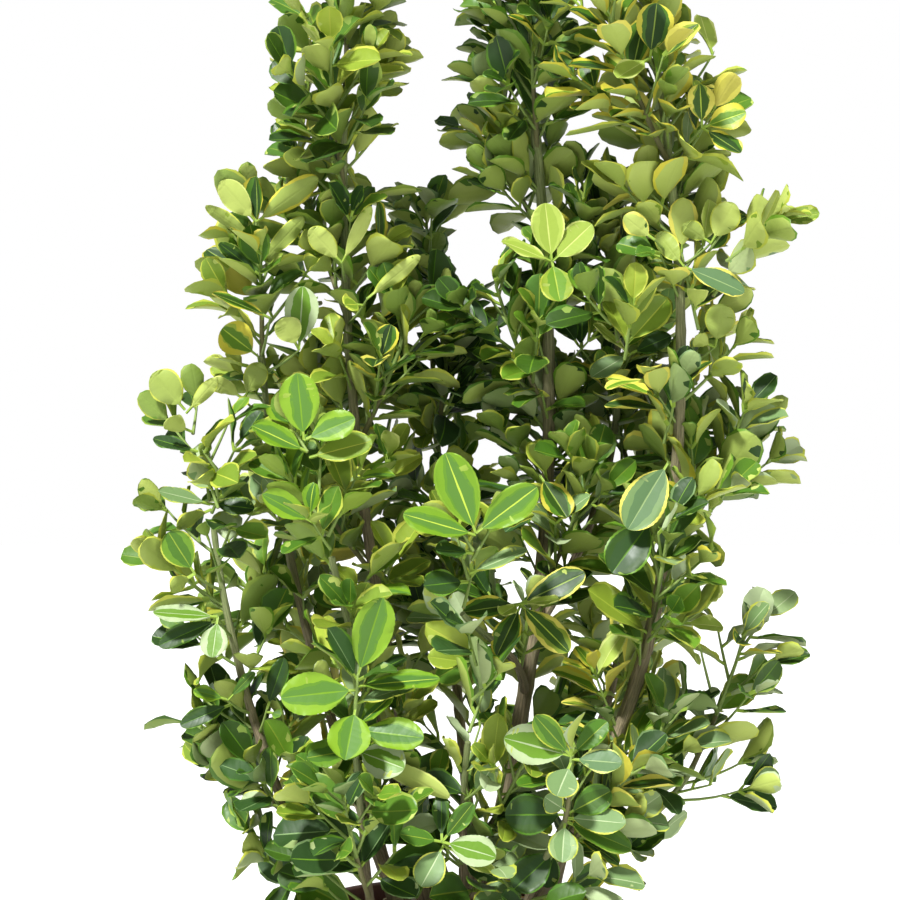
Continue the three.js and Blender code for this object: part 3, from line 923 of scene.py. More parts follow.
leafMaker = dict(
    length=0.05, lengthVaries=0.2, widthShare=0.555, widthVaries=0.14, stalk=0.006,
    spread=62, closing=24, spreadVaries=9, bearingVaries=9, shrink=0.24, sideSize=0.93,
    lastLength=0.84, lastSpread=0.62, pairStep=0.0145, tipGap=0.004,
    toLight=0.3, toOutside=0.42, crownHalf=0.15, roll=16,
    fold=(0.06, 0.3), curl=(0.05, 0.24), bend=0.12, bendVaries=0.42, twist=0.3,
    tries=list(itertools.product((1, 0.84), (0, -16, 14), (0, 22, -22, 46, -46))),  # size, lean, turn
    samples=[(0.32, 0), (0.55, 0.55), (0.55, -0.55), (0.78, 0.6), (0.78, -0.6), (0.97, 0)],
    sheetRows=(0.14, 0.32, 0.5, 0.68, 0.85, 0.98), outline=(0.78, 0.57), ownKind=0.6,
)


# The width of a leaf along its length, as a share of its greatest width.
def bladeWidth(share):
    low, high = leafMaker["outline"]
    widest = low / (low + high)
    return (share / widest) ** low * ((1 - share) / (1 - widest)) ** high


def leavesOf(shoot, draw):
    make = leafMaker
    path = shoot["path"]
    pairs = max(int(path["length"] / make["pairStep"]), 1)
    firstTurn = 360 * draw()
    size = make["sideSize"] if shoot.get("side") else 1
    for k, side in itertools.product(range(1, pairs + 2), (0, 1)):
        last = k > pairs
        share = 1 if last else min(k / pairs, 1) * (1 - make["tipGap"] / path["length"])
        length = make["length"] * size * (1 - make["shrink"] * share)
        length *= 1 + spreadOf(draw, make["lengthVaries"])
        spread = make["spread"] - make["closing"] * share + spreadOf(draw, make["spreadVaries"])
        if last:
            length *= make["lastLength"]
            spread *= make["lastSpread"]
        yield dict(
            share=share, root=pointAt(path, share), along=tangentAt(path, share),
            bearing=firstTurn + 90 * k + 180 * side + spreadOf(draw, make["bearingVaries"]),
            spread=spread, length=length,
            width=make["widthShare"] * (1 + spreadOf(draw, make["widthVaries"])),
            roll=spreadOf(draw, make["roll"]),
            fold=drawn(draw, *make["fold"]), curl=drawn(draw, *make["curl"]),
            bend=make["bend"] + spreadOf(draw, make["bendVaries"]), twist=spreadOf(draw, make["twist"]),
            tone=draw(), luck=draw())


# A leaf's own directions: out along its blade, the way it faces, and across.
def placedLeaf(leaf, extraTurn):
    make = leafMaker
    root, along = leaf["root"], leaf["along"]
    out = sideways(along, leaf["bearing"] + extraTurn)
    lean = math.radians(leaf["spread"])
    axis = out * math.sin(lean) + along * math.cos(lean)
    face = along * math.sin(lean) - out * math.cos(lean)
    outside = np.array([root[0], root[1], 0]) / make["crownHalf"]
    face = face * (1 - make["toLight"]) + upwards(make["toLight"]) + outside * make["toOutside"]
    face = unit(face - axis * axis.dot(face))
    roll = math.radians(leaf["roll"])
    face, across = rotated(face, cross(axis, face), math.cos(roll), math.sin(roll))
    return dict(leaf, axis=axis, face=face, across=across)


def leafSamples(leaf):
    reach = leaf["axis"] * leaf["length"]
    half = leaf["across"] * leaf["length"] * leaf["width"] / 2
    along, side = np.array(leafMaker["samples"]).T[:, :, None]
    return leaf["root"] - leaf["face"] * roomMaker["sink"] + reach * along + half * side


def insideBox(points):
    low, high, slack = *np.array(cadBox), roomMaker["boxSlack"]
    return (points > low - slack).all() and (points < high + slack).all()


# A leaf's surface in a few faces, from a little past its stalk, to test whether two leaves cross.
def leafSheet(leaf):
    run = np.array(leafMaker["sheetRows"])[:, None]
    side = np.array([-1.0, 0.0, 1.0])[None]
    half = leaf["length"] * leaf["width"] / 2 * bladeWidth(run)
    lift = half * (leaf["fold"] + leaf["curl"]) * np.abs(side)
    lift = lift - leaf["bend"] * leaf["length"] * run**2 / 2
    along = leaf["length"] * (run - leaf["bend"] ** 2 * run**3 / 6) + 0 * side
    turn = leaf["twist"] * run
    lift, across = rotated(lift, half * side, np.cos(turn), np.sin(turn))
    ways = ((along, "axis"), (across, "across"), (lift, "face"))
    points = leaf["root"] + sum(amount[..., None] * leaf[way] for amount, way in ways)
    faces = [(k, k + 1, k + 4, k + 3) for row in range(len(run) - 1) for k in (3 * row, 3 * row + 1)]
    return BVHTree.FromPolygons(points.reshape(-1, 3).tolist(), faces)


def middleOf(leaf):
    return leaf["root"] + leaf["axis"] * leaf["length"] / 2


def crosses(leaf, sheet):
    away = np.abs(placed["middles"] - middleOf(leaf)).max(axis=1)
    return any(sheet.overlap(placed["trees"][k]) for k in np.flatnonzero(away < roomMaker["near"]))


def keepSheet(middle, sheet):
    placed["trees"].append(sheet)
    placed["middles"] = np.vstack([placed["middles"], middle])


# Twigs stay out of sight of the leaves placed by the photo, and count as placed by short stretches.
def keepsClear(shoot):
    return isOpen(np.array([pointAt(shoot["path"], share) for share in twigMaker["seenAt"]]), "seen")


def keepTwig(shoot):
    stretches = max(round(shoot["path"]["length"] / twigMaker["stretch"]), 1)
    rows = framesAlong(shoot["path"], np.linspace(0, 1, stretches + 1))
    for (start, *ways), (end, _, _) in zip(rows, rows[1:]):
        ribs = [way * shootMaker["sideRadius"] for way in ways]
        points = [p.tolist() for rib in ribs for p in (start + rib, start - rib, end - rib, end + rib)]
        keepSheet((start + end) / 2, BVHTree.FromPolygons(points, [(0, 1, 2, 3), (4, 5, 6, 7)]))


# The leaf as it is, turned round its twig or smaller, or nothing if there is no room for it.
def fitted(leaf):
    for size, lean, turn in leafMaker["tries"]:
        changed = dict(leaf, length=leaf["length"] * size, spread=leaf["spread"] + lean)
        made = placedLeaf(changed, turn)
        samples = leafSamples(made)
        if insideBox(samples) and isOpen(samples) and isFree(samples):
            sheet = leafSheet(made)
            if not crosses(made, sheet):
                mark(samples)
                keepSheet(middleOf(made), sheet)
                return made
    return None


def growLeaves(shoot, draw):
    grown = [made for leaf in leavesOf(shoot, draw) if (made := fitted(leaf))]
    shoot["end"] = 1 if shoot.get("top") else max((leaf["share"] for leaf in grown), default=0)
    return grown


# Sprays placed where the photo shows them, each on the limb that carries it. A top spray bends the
# limb's own top shoot, and a spur is a twig of its own. Its path is pixels of the photo with a depth
# in millimetres. Each leaf has its place on the path in hundredths, its tip's pixel, its width in
# pixels, how far its tip comes forward in millimetres, the way it faces in hundredths, and its kind.
shownMaker = dict(
    limbShares=(0.05, 1, 96), limbBelow=22, sag=0.004,
    fold=(0.05, 0.1), curl=(0.05, 0.1), bend=(0, 0.1), twist=0.15,
    seen=((0.15, 0.25), (0.38, 0.45), (0.62, 0.45), (0.86, 0.45)), seenBehind=0.002, seed=77,
)
shown = [
    ("front_left", "top", [(354, 712, -105), (358, 675, -113)], [
        (100, 383, 598, 41, 4, 15, -100, 20, "lime"), (80, 281, 697, 45, 14, -15, -100, 45, "lime"),
        (55, 345, 760, 43, 30, 0, -100, 50, "lime"), (85, 440, 678, 30, -4, 15, -60, 90, "lime"),
        (62, 417, 684, 28, -12, 10, -50, 90, "wax"), (27, 424, 738, 36, 8, 10, -80, 60, "lime"),
        (12, 409, 722, 24, -12, 10, -50, 80, "olive"), (0, 404, 768, 40, 16, 10, -100, 40, "wax"),
        (0, 451, 795, 24, 0, 10, 90, 40, "pale"), (0, 307, 757, 34, 10, -10, -80, 60, "mid")]),
    ("front_bough", "top", [(470, 574, -95), (476, 533, -106)], [
        (100, 445, 453, 43, 0, -10, -100, 15, "lime"), (100, 537, 487, 35, 6, 25, -100, 35, "lime"),
        (97, 404, 513, 33, 12, -20, -80, 70, "lime"), (75, 436, 549, 24, 12, -10, -60, 80, "deep"),
        (50, 527, 549, 30, 0, 10, -50, 90, "wax"), (40, 424, 585, 34, 12, -10, -80, 60, "deep")]),
    ("left_middle", "top", [(322, 500, -90), (304, 440, -100)], [
        (100, 297, 373, 41, 0, -10, -100, 10, "lime"), (100, 355, 418, 32, 6, 20, -80, 50, "lime"),
        (85, 372, 440, 34, 0, 10, -80, 60, "olive"), (90, 252, 425, 30, 6, -20, -70, 70, "lime")]),
    ("right_leader", "spur", [(668, 463, -80)], [(100, 628, 529, 44, 12, -10, -100, 15, "waxSheenEdged")]),
    ("right_leader", "spur", [(652, 519, -75)], [(100, 612, 573, 44, 14, -20, -100, 20, "deep")]),
    ("centre_leader", "spur", [(540, 476, -20)], [(100, 567, 517, 32, 20, 30, -100, 40, "edged")]),
    ("centre_leader", "spur", [(520, 604, -40)], [
        (100, 585, 573, 32, 0, 10, -80, 60, "edged"), (100, 463, 612, 30, 10, -10, -80, 60, "edged"),
        (100, 569, 651, 30, 20, 20, -90, 40, "gold"), (95, 497, 655, 27, 24, -10, -100, 30, "edged"),
        (100, 559, 599, 15, 12, 10, -60, 80, "pale"), (100, 501, 614, 20, 16, -10, -60, 80, "pale")]),
    ("centre_leader", "spur", [(552, 262, -15)], [
        (100, 545, 203, 34, 0, -10, -100, 20, "pale"), (100, 502, 240, 28, 6, -20, -60, 80, "pale"),
        (100, 592, 224, 30, 4, 20, -80, 50, "pale"), (100, 560, 300, 34, 30, 0, -90, 60, "olive")]),
    ("right_leader", "spur", [(650, 58, -75)], [
        (100, 657, 3, 38, 0, 5, -100, 10, "edged"), (100, 617, 78, 30, 12, -20, -80, 60, "pale")]),
    ("right_leader", "spur", [(702, 128, -65)], [
        (100, 746, 112, 30, 4, 30, -80, 50, "gold"), (100, 741, 152, 28, 12, 20, -80, 60, "edged"),
        (100, 700, 84, 28, 0, 10, -100, 20, "gold")]),
    ("right_leader", "spur", [(655, 240, -70)], [(100, 624, 216, 24, 0, 0, 90, 40, "edged")]),
    ("right_leader", "spur", [(684, 267, -68)], [
        (100, 658, 233, 22, -10, 10, 90, 40, "olive"), (100, 745, 291, 28, 6, 10, -90, 50, "waxSheenEdged")]),
    ("right_leader", "spur", [(711, 243, -55)], [
        (100, 734, 203, 30, 0, 0, 100, 30, "olive"), (100, 683, 224, 20, 4, 10, 80, 50, "olive")]),
    ("right_leader", "spur", [(715, 347, -50)], [
        (100, 723, 304, 31, 0, 10, 100, 30, "olive"), (100, 694, 338, 18, 6, 10, 80, 50, "olive")]),
    ("centre_bough", "spur", [(630, 354, 18)], [
        (100, 591, 376, 28, 10, -10, -80, 60, "wax"), (100, 671, 336, 22, 6, 10, -80, 50, "deep"),
        (100, 594, 323, 14, 4, -10, -50, 80, "pale")]),
    ("left_outer", "top", [(262, 305, 35), (262, 262, 20), (256, 222, 10)], [
        (100, 221, 181, 27, 4, -10, 90, 40, "pale"), (100, 318, 177, 26, 0, 10, 80, 50, "edged"),
        (85, 206, 205, 15, 6, -10, 80, 60, "olive"), (70, 304, 217, 18, 6, 10, 80, 40, "olive"),
        (60, 219, 243, 18, 8, -20, -80, 50, "deep")]),
    ("left_outer", "spur", [(258, 356, 30)], [(100, 222, 328, 36, 0, -10, -100, 30, "gold")]),
    ("left_outer", "spur", [(244, 399, 30)], [
        (100, 212, 379, 17, 6, -10, 90, 50, "pale"), (100, 262, 363, 24, 0, 10, 90, 40, "olive")]),
    ("left_outer", "spur", [(270, 318, 0)], [(100, 213, 291, 18, 6, -10, -60, 80, "edged")]),
    ("left_outer", "spur", [(299, 350, 0)], [
        (100, 282, 318, 28, 8, 0, 90, 40, "pale"), (100, 303, 286, 34, -4, 0, -100, 10, "wax")]),
    ("left_leader", "spur", [(342, 263, -10)], [
        (100, 310, 228, 25, 4, 10, 90, 40, "olive"), (100, 371, 206, 15, 0, 10, 90, 30, "pale")]),
    ("left_leader", "spur", [(367, 299, -10)], [
        (100, 420, 255, 16, 0, 20, 70, 60, "olive"), (80, 345, 304, 26, 12, -10, -80, 50, "olive")]),
    ("far_left", "top", [(207, 478, -12), (194, 436, -18), (185, 410, -20)], [
        (100, 153, 373, 36, 0, 10, 100, 40, "olive"), (97, 217, 378, 15, 4, 30, 80, 50, "olive"),
        (80, 165, 421, 22, 12, -10, 90, 50, "pale"), (62, 153, 438, 20, 0, -10, -60, 80, "deep"),
        (15, 158, 491, 21, 6, -10, -70, 70, "wax"), (10, 176, 526, 20, 20, 0, 80, 60, "olive"),
        (15, 254, 508, 22, 8, 10, -90, 50, "deep")]),
    ("far_left", "spur", [(195, 574, -35)], [
        (100, 168, 532, 34, 0, -10, -100, 30, "mid"), (100, 170, 590, 20, 10, 0, 80, 60, "olive")]),
    ("far_left", "spur", [(218, 617, -35)], [
        (100, 153, 612, 21, 6, -10, -80, 60, "wax"), (100, 212, 657, 28, 16, -10, -90, 50, "wax"),
        (90, 158, 645, 22, 0, -10, -90, 50, "deep")]),
    ("far_left", "spur", [(228, 700, -35)], [
        (100, 194, 690, 17, 8, -10, -80, 60, "lime"), (100, 254, 672, 12, 4, 10, -80, 50, "mid"),
        (80, 180, 725, 20, 0, -10, -90, 50, "deep")]),
    ("far_left", "spur", [(267, 709, -30)], [
        (100, 284, 658, 20, 0, 10, -100, 20, "deep"), (90, 281, 715, 14, 6, 10, -80, 60, "lime")]),
    ("front_right", "top", [(571, 796, -117), (571, 756, -124)], [
        (100, 504, 738, 40, 4, -10, -100, 30, "wax"), (100, 535, 716, 25, 10, -10, -100, 30, "mid"),
        (100, 607, 721, 24, 0, 20, -80, 50, "mid"), (95, 622, 763, 28, 8, 10, -80, 60, "waxSheenEdged"),
        (90, 557, 796, 34, 18, 0, -90, 60, "wax"), (10, 505, 815, 42, 4, -10, -100, 30, "deep"),
        (15, 545, 797, 25, 12, -10, -100, 30, "wax"), (10, 611, 791, 30, 0, 10, -100, 30, "mid"),
        (5, 626, 823, 30, 10, 10, -90, 50, "wax"), (0, 632, 848, 30, 2, 10, -80, 60, "mid"),
        (0, 562, 862, 30, 20, 0, -100, 40, "wax")]),
    ("front_right", "spur", [(556, 850, -100)], [
        (100, 514, 889, 36, 6, -10, -100, 40, "deep"), (100, 544, 888, 24, -10, 0, -100, 40, "deep")]),
    ("centre_front", "spur", [(442, 842, -108)], [
        (100, 496, 857, 33, 6, 10, -90, 50, "wax"), (100, 400, 834, 22, 8, -10, -80, 60, "mid"),
        (100, 473, 803, 20, 0, 10, -100, 20, "mid"), (100, 441, 793, 18, -14, -20, -100, 10, "deep"),
        (90, 421, 886, 32, 16, -10, -90, 50, "wax"), (90, 494, 872, 18, 0, 10, -70, 80, "pale")]),
]


def nearestShare(limb, right, down):
    shares = np.linspace(*shownMaker["limbShares"])
    across, below = photoPixels(np.array([pointAt(limb["path"], s) for s in shares]))
    return shares[np.hypot(across - right, below - down).argmin()]


def shownShoot(name, way, places):
    limb = stems[name]
    right, down, _ = places[-1]
    share = 1 if way == "top" else nearestShare(limb, right, down + shownMaker["limbBelow"])
    start = pointAt(limb["path"], share)
    controls = [photoPoint(x, y, depth / 1000) for x, y, depth in places]
    if len(controls) == 1:
        controls = [(start + controls[0]) / 2 - upwards(shownMaker["sag"])] + controls
    return dict(node=massOf(name), limb=name, root=start, side=True, path=pathOf(start, *controls))


def shownLeaves(shoot, leaves, draw):
    make = shownMaker
    for share, right, down, width, forward, *facing, kind in leaves:
        root = pointAt(shoot["path"], share / 100)
        reach = photoPoint(right, down, root[1] - forward / 1000) - root
        length = np.linalg.norm(reach)
        axis = reach / length
        face = np.array(facing) / 100
        face = unit(face - axis * axis.dot(face))
        leaf = dict(
            fine=True, kind=kind, root=root, axis=axis, face=face, across=cross(axis, face),
            length=length, width=width * pixelAt(root[1]) / length,
            fold=drawn(draw, *make["fold"]), curl=drawn(draw, *make["curl"]),
            bend=drawn(draw, *make["bend"]), twist=spreadOf(draw, make["twist"]), tone=draw())
        mark(leafSamples(leaf))
        keepSheet(middleOf(leaf), leafSheet(leaf))
        for part, clear in make["seen"]:
            middle = root + reach * part
            x, y = photoPixels(middle[None])
            keptSeen.append((x[0], y[0], width * clear, width * clear, middle[1] + make["seenBehind"]))
        yield leaf


# Leaf colours are plain, and each spray is dealt a kind

palette = dict(
    deepA="2a460f", deepB="385815", deepC="28441a",
    midA="4b711a", midB="5d8321", midC="436a1c",
    oliveA="7f942d", oliveB="96a83a", oliveC="6e8828",
    # The wax tones are pale partly as a waxy bloom and partly as a painted sheen.
    waxA="7f9661", waxB="a0b184", waxC="6a8652", waxDeep="537147",
    limeA="688e1c", limeB="769a24", limeC="567f20", emeraldA="446d24", emeraldB="50782a",
    goldA="c3bb3e", goldB="d0c958", goldC="afa836",
    marginA="a6b040", marginB="bbc24c", marginC="83993a",
    # Undersides are paler, as the real ones are, and lighter and yellower still as painted light shining
    # through the leaf.
    underA="92a44d", underB="a7b65b", underC="7a923f", underLime="8ba43e", underGold="b6b04c",
    paleA="90a640", paleB="9eb24d", paleEdge="bac56c",
    coolA="27431a", coolB="315122", underWax="9cab76", underCool="869a60",
    ribA="81983e", ribB="abc041", stalkA="8da841",
)
kinds = dict(
    deep=dict(blade="deepA deepB deepC", margin="midA midB midC marginC", blotch="deepC",
              rib="midA midB", under="underA underC"),
    mid=dict(blade="midA midB midC", margin="midB marginC marginA", blotch="midC deepB",
             rib="oliveC oliveA", under="underA underB underC"),
    # Waxy kinds: pale partly from a waxy bloom and partly as a painted sheen.
    wax=dict(blade="waxA waxB waxC", margin="marginB marginA waxB", blotch="midB waxC",
             rib="waxB", under="underWax underB"),
    cool=dict(blade="coolA coolB deepC", margin="midC waxC midA", blotch="coolB", rib="midB waxC",
              under="underCool underWax"),
    olive=dict(blade="oliveA oliveB oliveC", margin="marginA marginB", blotch="oliveC midB",
               rib="oliveB marginA", under="underB underA"),
    edged=dict(blade="deepB midA midC", margin="goldA goldB goldC", blotch="deepA deepC",
               rib="ribA", under="underA underB"),
    waxSheenEdged=dict(blade="waxC waxDeep", margin="paleEdge goldB", blotch="waxDeep waxC", rib="waxA",
                  under="underCool"),
    gold=dict(blade="oliveB marginB oliveA", margin="goldB goldA", blotch="midB deepB",
              rib="ribB", under="underGold underB"),
    lime=dict(blade="limeA limeB", margin="limeB", blotch="emeraldA emeraldB", feather="limeC",
              rib="limeA ribB", under="underLime"),
    pale=dict(blade="paleA paleB", margin="paleEdge", blotch="paleA", rib="paleEdge", under="underB"),
)
broadMargins = dict(edged=0.2, waxSheenEdged=0.06, gold=0.42)  # how far in a margin reaches
blotched = ("lime", "gold", "edged", "waxSheenEdged")  # kinds with a blotch that wanders
glossy = ("deep", "mid", "olive", "emerald", "lime")  # tones that shine more than the others
roughness = dict(glossy=(0.38, 0.56), waxy=(0.46, 0.64))

# Shares of the kinds that a mass's sprays are dealt: the usual ones, and others with their masses.
usual = dict(deep=0.28, mid=0.33, olive=0.14, wax=0.12, edged=0.05, cool=0.08)
dealtMasses = [
    (dict(deep=0.16, mid=0.3, olive=0.33, wax=0.07, edged=0.09, pale=0.05),
     dict(right_leader="4 5", left_leader="4 top")),
    (dict(mid=0.28, olive=0.34, edged=0.24, gold=0.08, pale=0.06),
     dict(right_leader="6 top", left_outer="top")),
    (dict(lime=0.05, deep=0.3, mid=0.35, wax=0.15, cool=0.15), dict(front_left="top")),
    # Much of the waxy kind, pale partly as a painted sheen, for the low front masses.
    (dict(deep=0.14, mid=0.2, wax=0.34, edged=0.04, cool=0.28),
     dict(centre_front="top", front_right="1 top", right_low="1 top")),
    # The darkest kinds, as painted shade, for the masses that lie in the crown's shade.
    (dict(deep=0.34, mid=0.26, olive=0.12, edged=0.04, cool=0.24),
     dict(far_left="1", front_left="1", centre_bough="1", back_centre="1 2 top",
          centre_leader="2 3 4 6 top")),
    (dict(mid=0.4, olive=0.3, wax=0.3), dict(front_bough="top")),
    (dict(lime=0.15, mid=0.45, olive=0.4), dict(left_middle="top")),
]
recipes = {
    massOf(limb, number): recipe
    for recipe, masses in dealtMasses for limb, numbers in masses.items() for number in numbers.split()
}
finishes = {}


def leafFinish(name):
    if name not in finishes:
        shine = roughness["glossy" if name.startswith(glossy) else "waxy"]
        finishes[name] = plainFinish(name, palette[name], *shine, veins=True)
    return finishes[name]


def dealt(weights, luck):
    total = 0
    for kind, weight in weights.items():
        total += weight
        if luck < total:
            return kind
    return kind


# Blades: rings round the section from row to row, on which the zones of colour lie

bladeMaker = dict(
    rows=(0.09, 0.24, 0.43, 0.62, 0.81, 0.94), fineRows=32, rowSpan=(0.3, math.pi - 0.22), scallop=0.012,
    footWidth=0.06, forms=dict(plain=(), blotched=(0.45,), fine=(0.2, 0.45, 0.56, 0.72)),
    rib=0.04, blotch=0.45, edge=0.87, zoneWaves=(4, 11, 26),
    blotchReach=0.5, blotchTaper=(1.15, 0.5), blotchWanders=0.09, blotchLeast=0.14, blotchGap=0.2,
    marginStart=0.03, marginWidens=(0.55, 0.45), marginGap=0.05, marginMost=0.93,
    ragged=0.02, raggedZones=0.05, fineRagged=0.25, knee=0.45, ripple=0.0012, rippleFrom=0.9,
    rippleWaves=9, ripplePhase=20, stalkHalf=0.0009, leastHalf=0.001,
    thickAt=(0, 0.01, 0.15, 1), thick=(0.0013, 0.0012, 0.0005, 0.0004), ribDip=-1.1, feathered=0.9,
    smoothUnder=60,
)


# Shares of the half width round a leaf's section, over the top and back underneath, and their zones.
def ringOf(form):
    make = bladeMaker
    rib, blotch, edge = make["rib"], make["blotch"] if form != "plain" else 0, make["edge"]
    right = [rib, *make["forms"][form], edge, 1]
    top = [-v for v in reversed(right)] + right
    zones = []
    for a, b in zip(top, top[1:]):
        middle = abs(a + b) / 2
        limits = (("rib", rib), ("blotch", blotch), ("blade", edge), ("margin", 1))
        zones.append(next(zone for zone, limit in limits if middle < limit))
    return np.array(top + [edge, 0, -edge]), len(top), zones + ["margin", "under", "under", "margin"]


# Rows along a leaf: share of its length and of its greatest width. A fine leaf has a scalloped edge.
def outlineOf(form):
    make = bladeMaker
    shares = np.array(make["rows"])
    if form == "fine":
        shares = (1 - np.cos(np.linspace(*make["rowSpan"], make["fineRows"]))) / 2
    widths = bladeWidth(shares)
    if form == "fine":
        widths = widths * (1 + make["scallop"] * (-1) ** np.arange(len(shares)))
    return np.array([(0.0, 0.0), (0.0, make["footWidth"]), *zip(shares, widths)]).T[:, None, :, None]


# Values of each leaf, ready to meet its rows and rings.
def gathered(leaves, keys):
    return [np.array([leaf[key] for leaf in leaves])[:, None, None] for key in keys.split()]


# A smooth wave of its own along each half of each leaf.
def wander(rng, count, share, ring):
    phases = rng.uniform(0, 2 * math.pi, (count, 3, 2))[:, :, (ring > 0).astype(int)]
    waves = enumerate(bladeMaker["zoneWaves"])
    return sum(np.sin(rate * share + phases[:, None, k]) / (k + 1) for k, rate in waves)


# Moves the blotch's and the margin's edges across the leaf, so that they wander along it.
def variegated(rng, leaves, share, ring, level):
    make = bladeMaker
    count, edge, blotch = len(leaves), make["edge"], make["blotch"]
    (wide, taper), (least, more) = make["blotchTaper"], make["marginWidens"]
    broad = np.array([broadMargins.get(leaf["kind"], 0) for leaf in leaves])[:, None, None]
    blotchAt = make["blotchReach"] * (wide - taper * share)
    blotchAt = blotchAt + make["blotchWanders"] * wander(rng, count, share, ring)
    blotchAt = np.clip(blotchAt, make["blotchLeast"], edge - make["blotchGap"])
    marginAt = edge + make["marginStart"] - broad * (least + more * wander(rng, count, share, ring))
    marginAt = np.clip(marginAt, blotchAt + make["marginGap"], make["marginMost"])
    inner = level / blotch * blotchAt
    middle = blotchAt + (level - blotch) / (edge - blotch) * (marginAt - blotchAt)
    outer = marginAt + (level - edge) / (1 - edge) * (1 - marginAt)
    return np.where(level <= blotch, inner, np.where(level <= edge, middle, outer))


# The points of many leaves of one form: rings from the stalk's foot to the last row, then the tip.
def leafPointsOf(leaves, form, ring, topCount, share, wide):
    make = bladeMaker
    count, rowCount, stalk = len(leaves), share.shape[1], leafMaker["stalk"]
    length, width, fold, curl, bend, twist, tone = gathered(
        leaves, "length width fold curl bend twist tone")
    half = length * width / 2
    rng = np.random.default_rng(int(1e6 * tone.sum()) % 2**31)
    foot = (np.arange(rowCount) == 0)[None, :, None]
    along = np.where(foot, 0, stalk + (length - stalk) * share)
    halfHere = np.where(foot, make["stalkHalf"], np.maximum(half * wide, make["leastHalf"]))
    ragged = rng.uniform(-1, 1, (count, rowCount, len(ring)))
    if form == "fine":
        ragged = ragged * make["fineRagged"]
    if form == "plain":
        inner = (np.abs(ring) > make["rib"]) & (np.abs(ring) < 1)
        side = ring + np.sign(ring) * inner * ragged * make["raggedZones"]
    else:
        level = np.broadcast_to(np.abs(ring), (count, rowCount, len(ring)))
        side = np.sign(ring) * variegated(rng, leaves, share, ring, level)
    level = np.abs(side)
    edge, knee = make["edge"], make["knee"]
    raised = np.where(
        level <= edge, level / edge * knee, knee + (1 - knee) * (level - edge) / (1 - edge))
    across = side * halfHere * (1 + make["ragged"] * ragged)
    lift = halfHere * (fold * level + curl * raised)
    wave = np.sin(make["rippleWaves"] * share + make["ripplePhase"] * tone)
    lift += make["ripple"] * (level > make["rippleFrom"]) * wave
    thick = np.interp(share, make["thickAt"], make["thick"])
    surface = np.zeros(len(ring))  # in thicknesses above the middle of the blade
    surface[1:topCount - 1] = 0.5
    surface[topCount:] = -0.5
    surface[topCount + 1] = make["ribDip"]
    lift = lift + thick * surface
    run = along / length
    lift = lift - bend * length * run**2 / 2
    along = along - bend**2 * length * run**3 / 6
    turn = twist * run
    lift, across = rotated(lift, across, np.cos(turn), np.sin(turn))
    root, axis, face, beside = gathered(leaves, "root axis face across")
    body = root + along[..., None] * axis + across[..., None] * beside + lift[..., None] * face
    tipRun, tipDrop = (length * (1 - bend**2 / 6))[..., None], (bend * length / 2)[..., None]
    tip = root + axis * tipRun - face * tipDrop
    return np.concatenate([body.reshape(count, -1, 3), tip.reshape(count, 1, 3)], axis=1)


# A leaf's faces with their zones and their corners on its map.
def leafShape(ring, zones, shares):
    size = len(ring)
    faces = tubeFaces(size, len(shares))
    faceZones = ["stalk"] * size + zones * (len(shares) - 1) + ["stalk"]
    places = [(0.5 + 0.5 * side, share) for share in shares for side in ring] + [(0.5, 1)]
    corners = [[places[v] for v in face] for face in faces[:-1]] + [[(0.5, 0)] * size]
    return faces, faceZones, corners


# The palette name of each zone of one leaf.
def leafTones(leaf):
    names = dict(stalk="stalkA")
    for k, (zone, choices) in enumerate(kinds[leaf["kind"]].items()):
        choices = choices.split()
        luck = (leaf["tone"] * 97.3 + k * 0.37) % 1  # another number for each leaf and zone
        names[zone] = choices[int(luck * len(choices))]
    return names


# A fine leaf has a ring of a tone between round its blotch.
def nextToBlotch(corner):
    fromRib = abs(sum(u for u, v in corner) / len(corner) - 0.5) * 2
    return bladeMaker["blotch"] < fromRib < bladeMaker["forms"]["fine"][2]


def formOf(leaf):
    if leaf.get("fine"):
        return "fine"
    return "blotched" if leaf["kind"] in blotched else "plain"


def addLeafPiece(name, leaves, nodes):
    points, faces, slots, corners, names = [], [], [], [], []
    for form in bladeMaker["forms"]:
        some = [leaf for leaf in leaves if formOf(leaf) == form]
        if not some:
            continue
        ring, topCount, zones = ringOf(form)
        share, wide = outlineOf(form)
        shape, faceZones, maps = leafShape(ring, zones, share[0, :, 0].tolist())
        for leaf, made in zip(some, leafPointsOf(some, form, ring, topCount, share, wide)):
            first = len(points)
            points += made.tolist()
            tones = leafTones(leaf)
            draw = seededRandom(int(leaf["tone"] * 1e6))
            for face, zone, corner in zip(shape, faceZones, maps):
                faces.append([first + i for i in face])
                if form == "fine" and zone == "blade" and nextToBlotch(corner):
                    feathered = "feather" in tones and draw() < bladeMaker["feathered"]
                    zone = "feather" if feathered else "blotch"
                tone = tones[zone]
                if tone not in names:
                    names.append(tone)
                slots.append(names.index(tone))
            corners += [c for corner in maps for c in corner]
    finishes = [leafFinish(tone) for tone in names]
    piece = meshPiece(name, points, faces, slots, finishes, bladeMaker["smoothUnder"])
    layer = piece.data.uv_layers.new(name="leafMap")
    layer.data.foreach_set("uv", np.array(corners).ravel())
    dress(piece, "foliage", *nodes)


# Twigs: tapering tubes that end in a bud

def twigRadius(shoot):
    kind = "spurRadius" if shoot.get("spur") else "sideRadius" if shoot.get("side") else "radius"
    return shootMaker[kind]


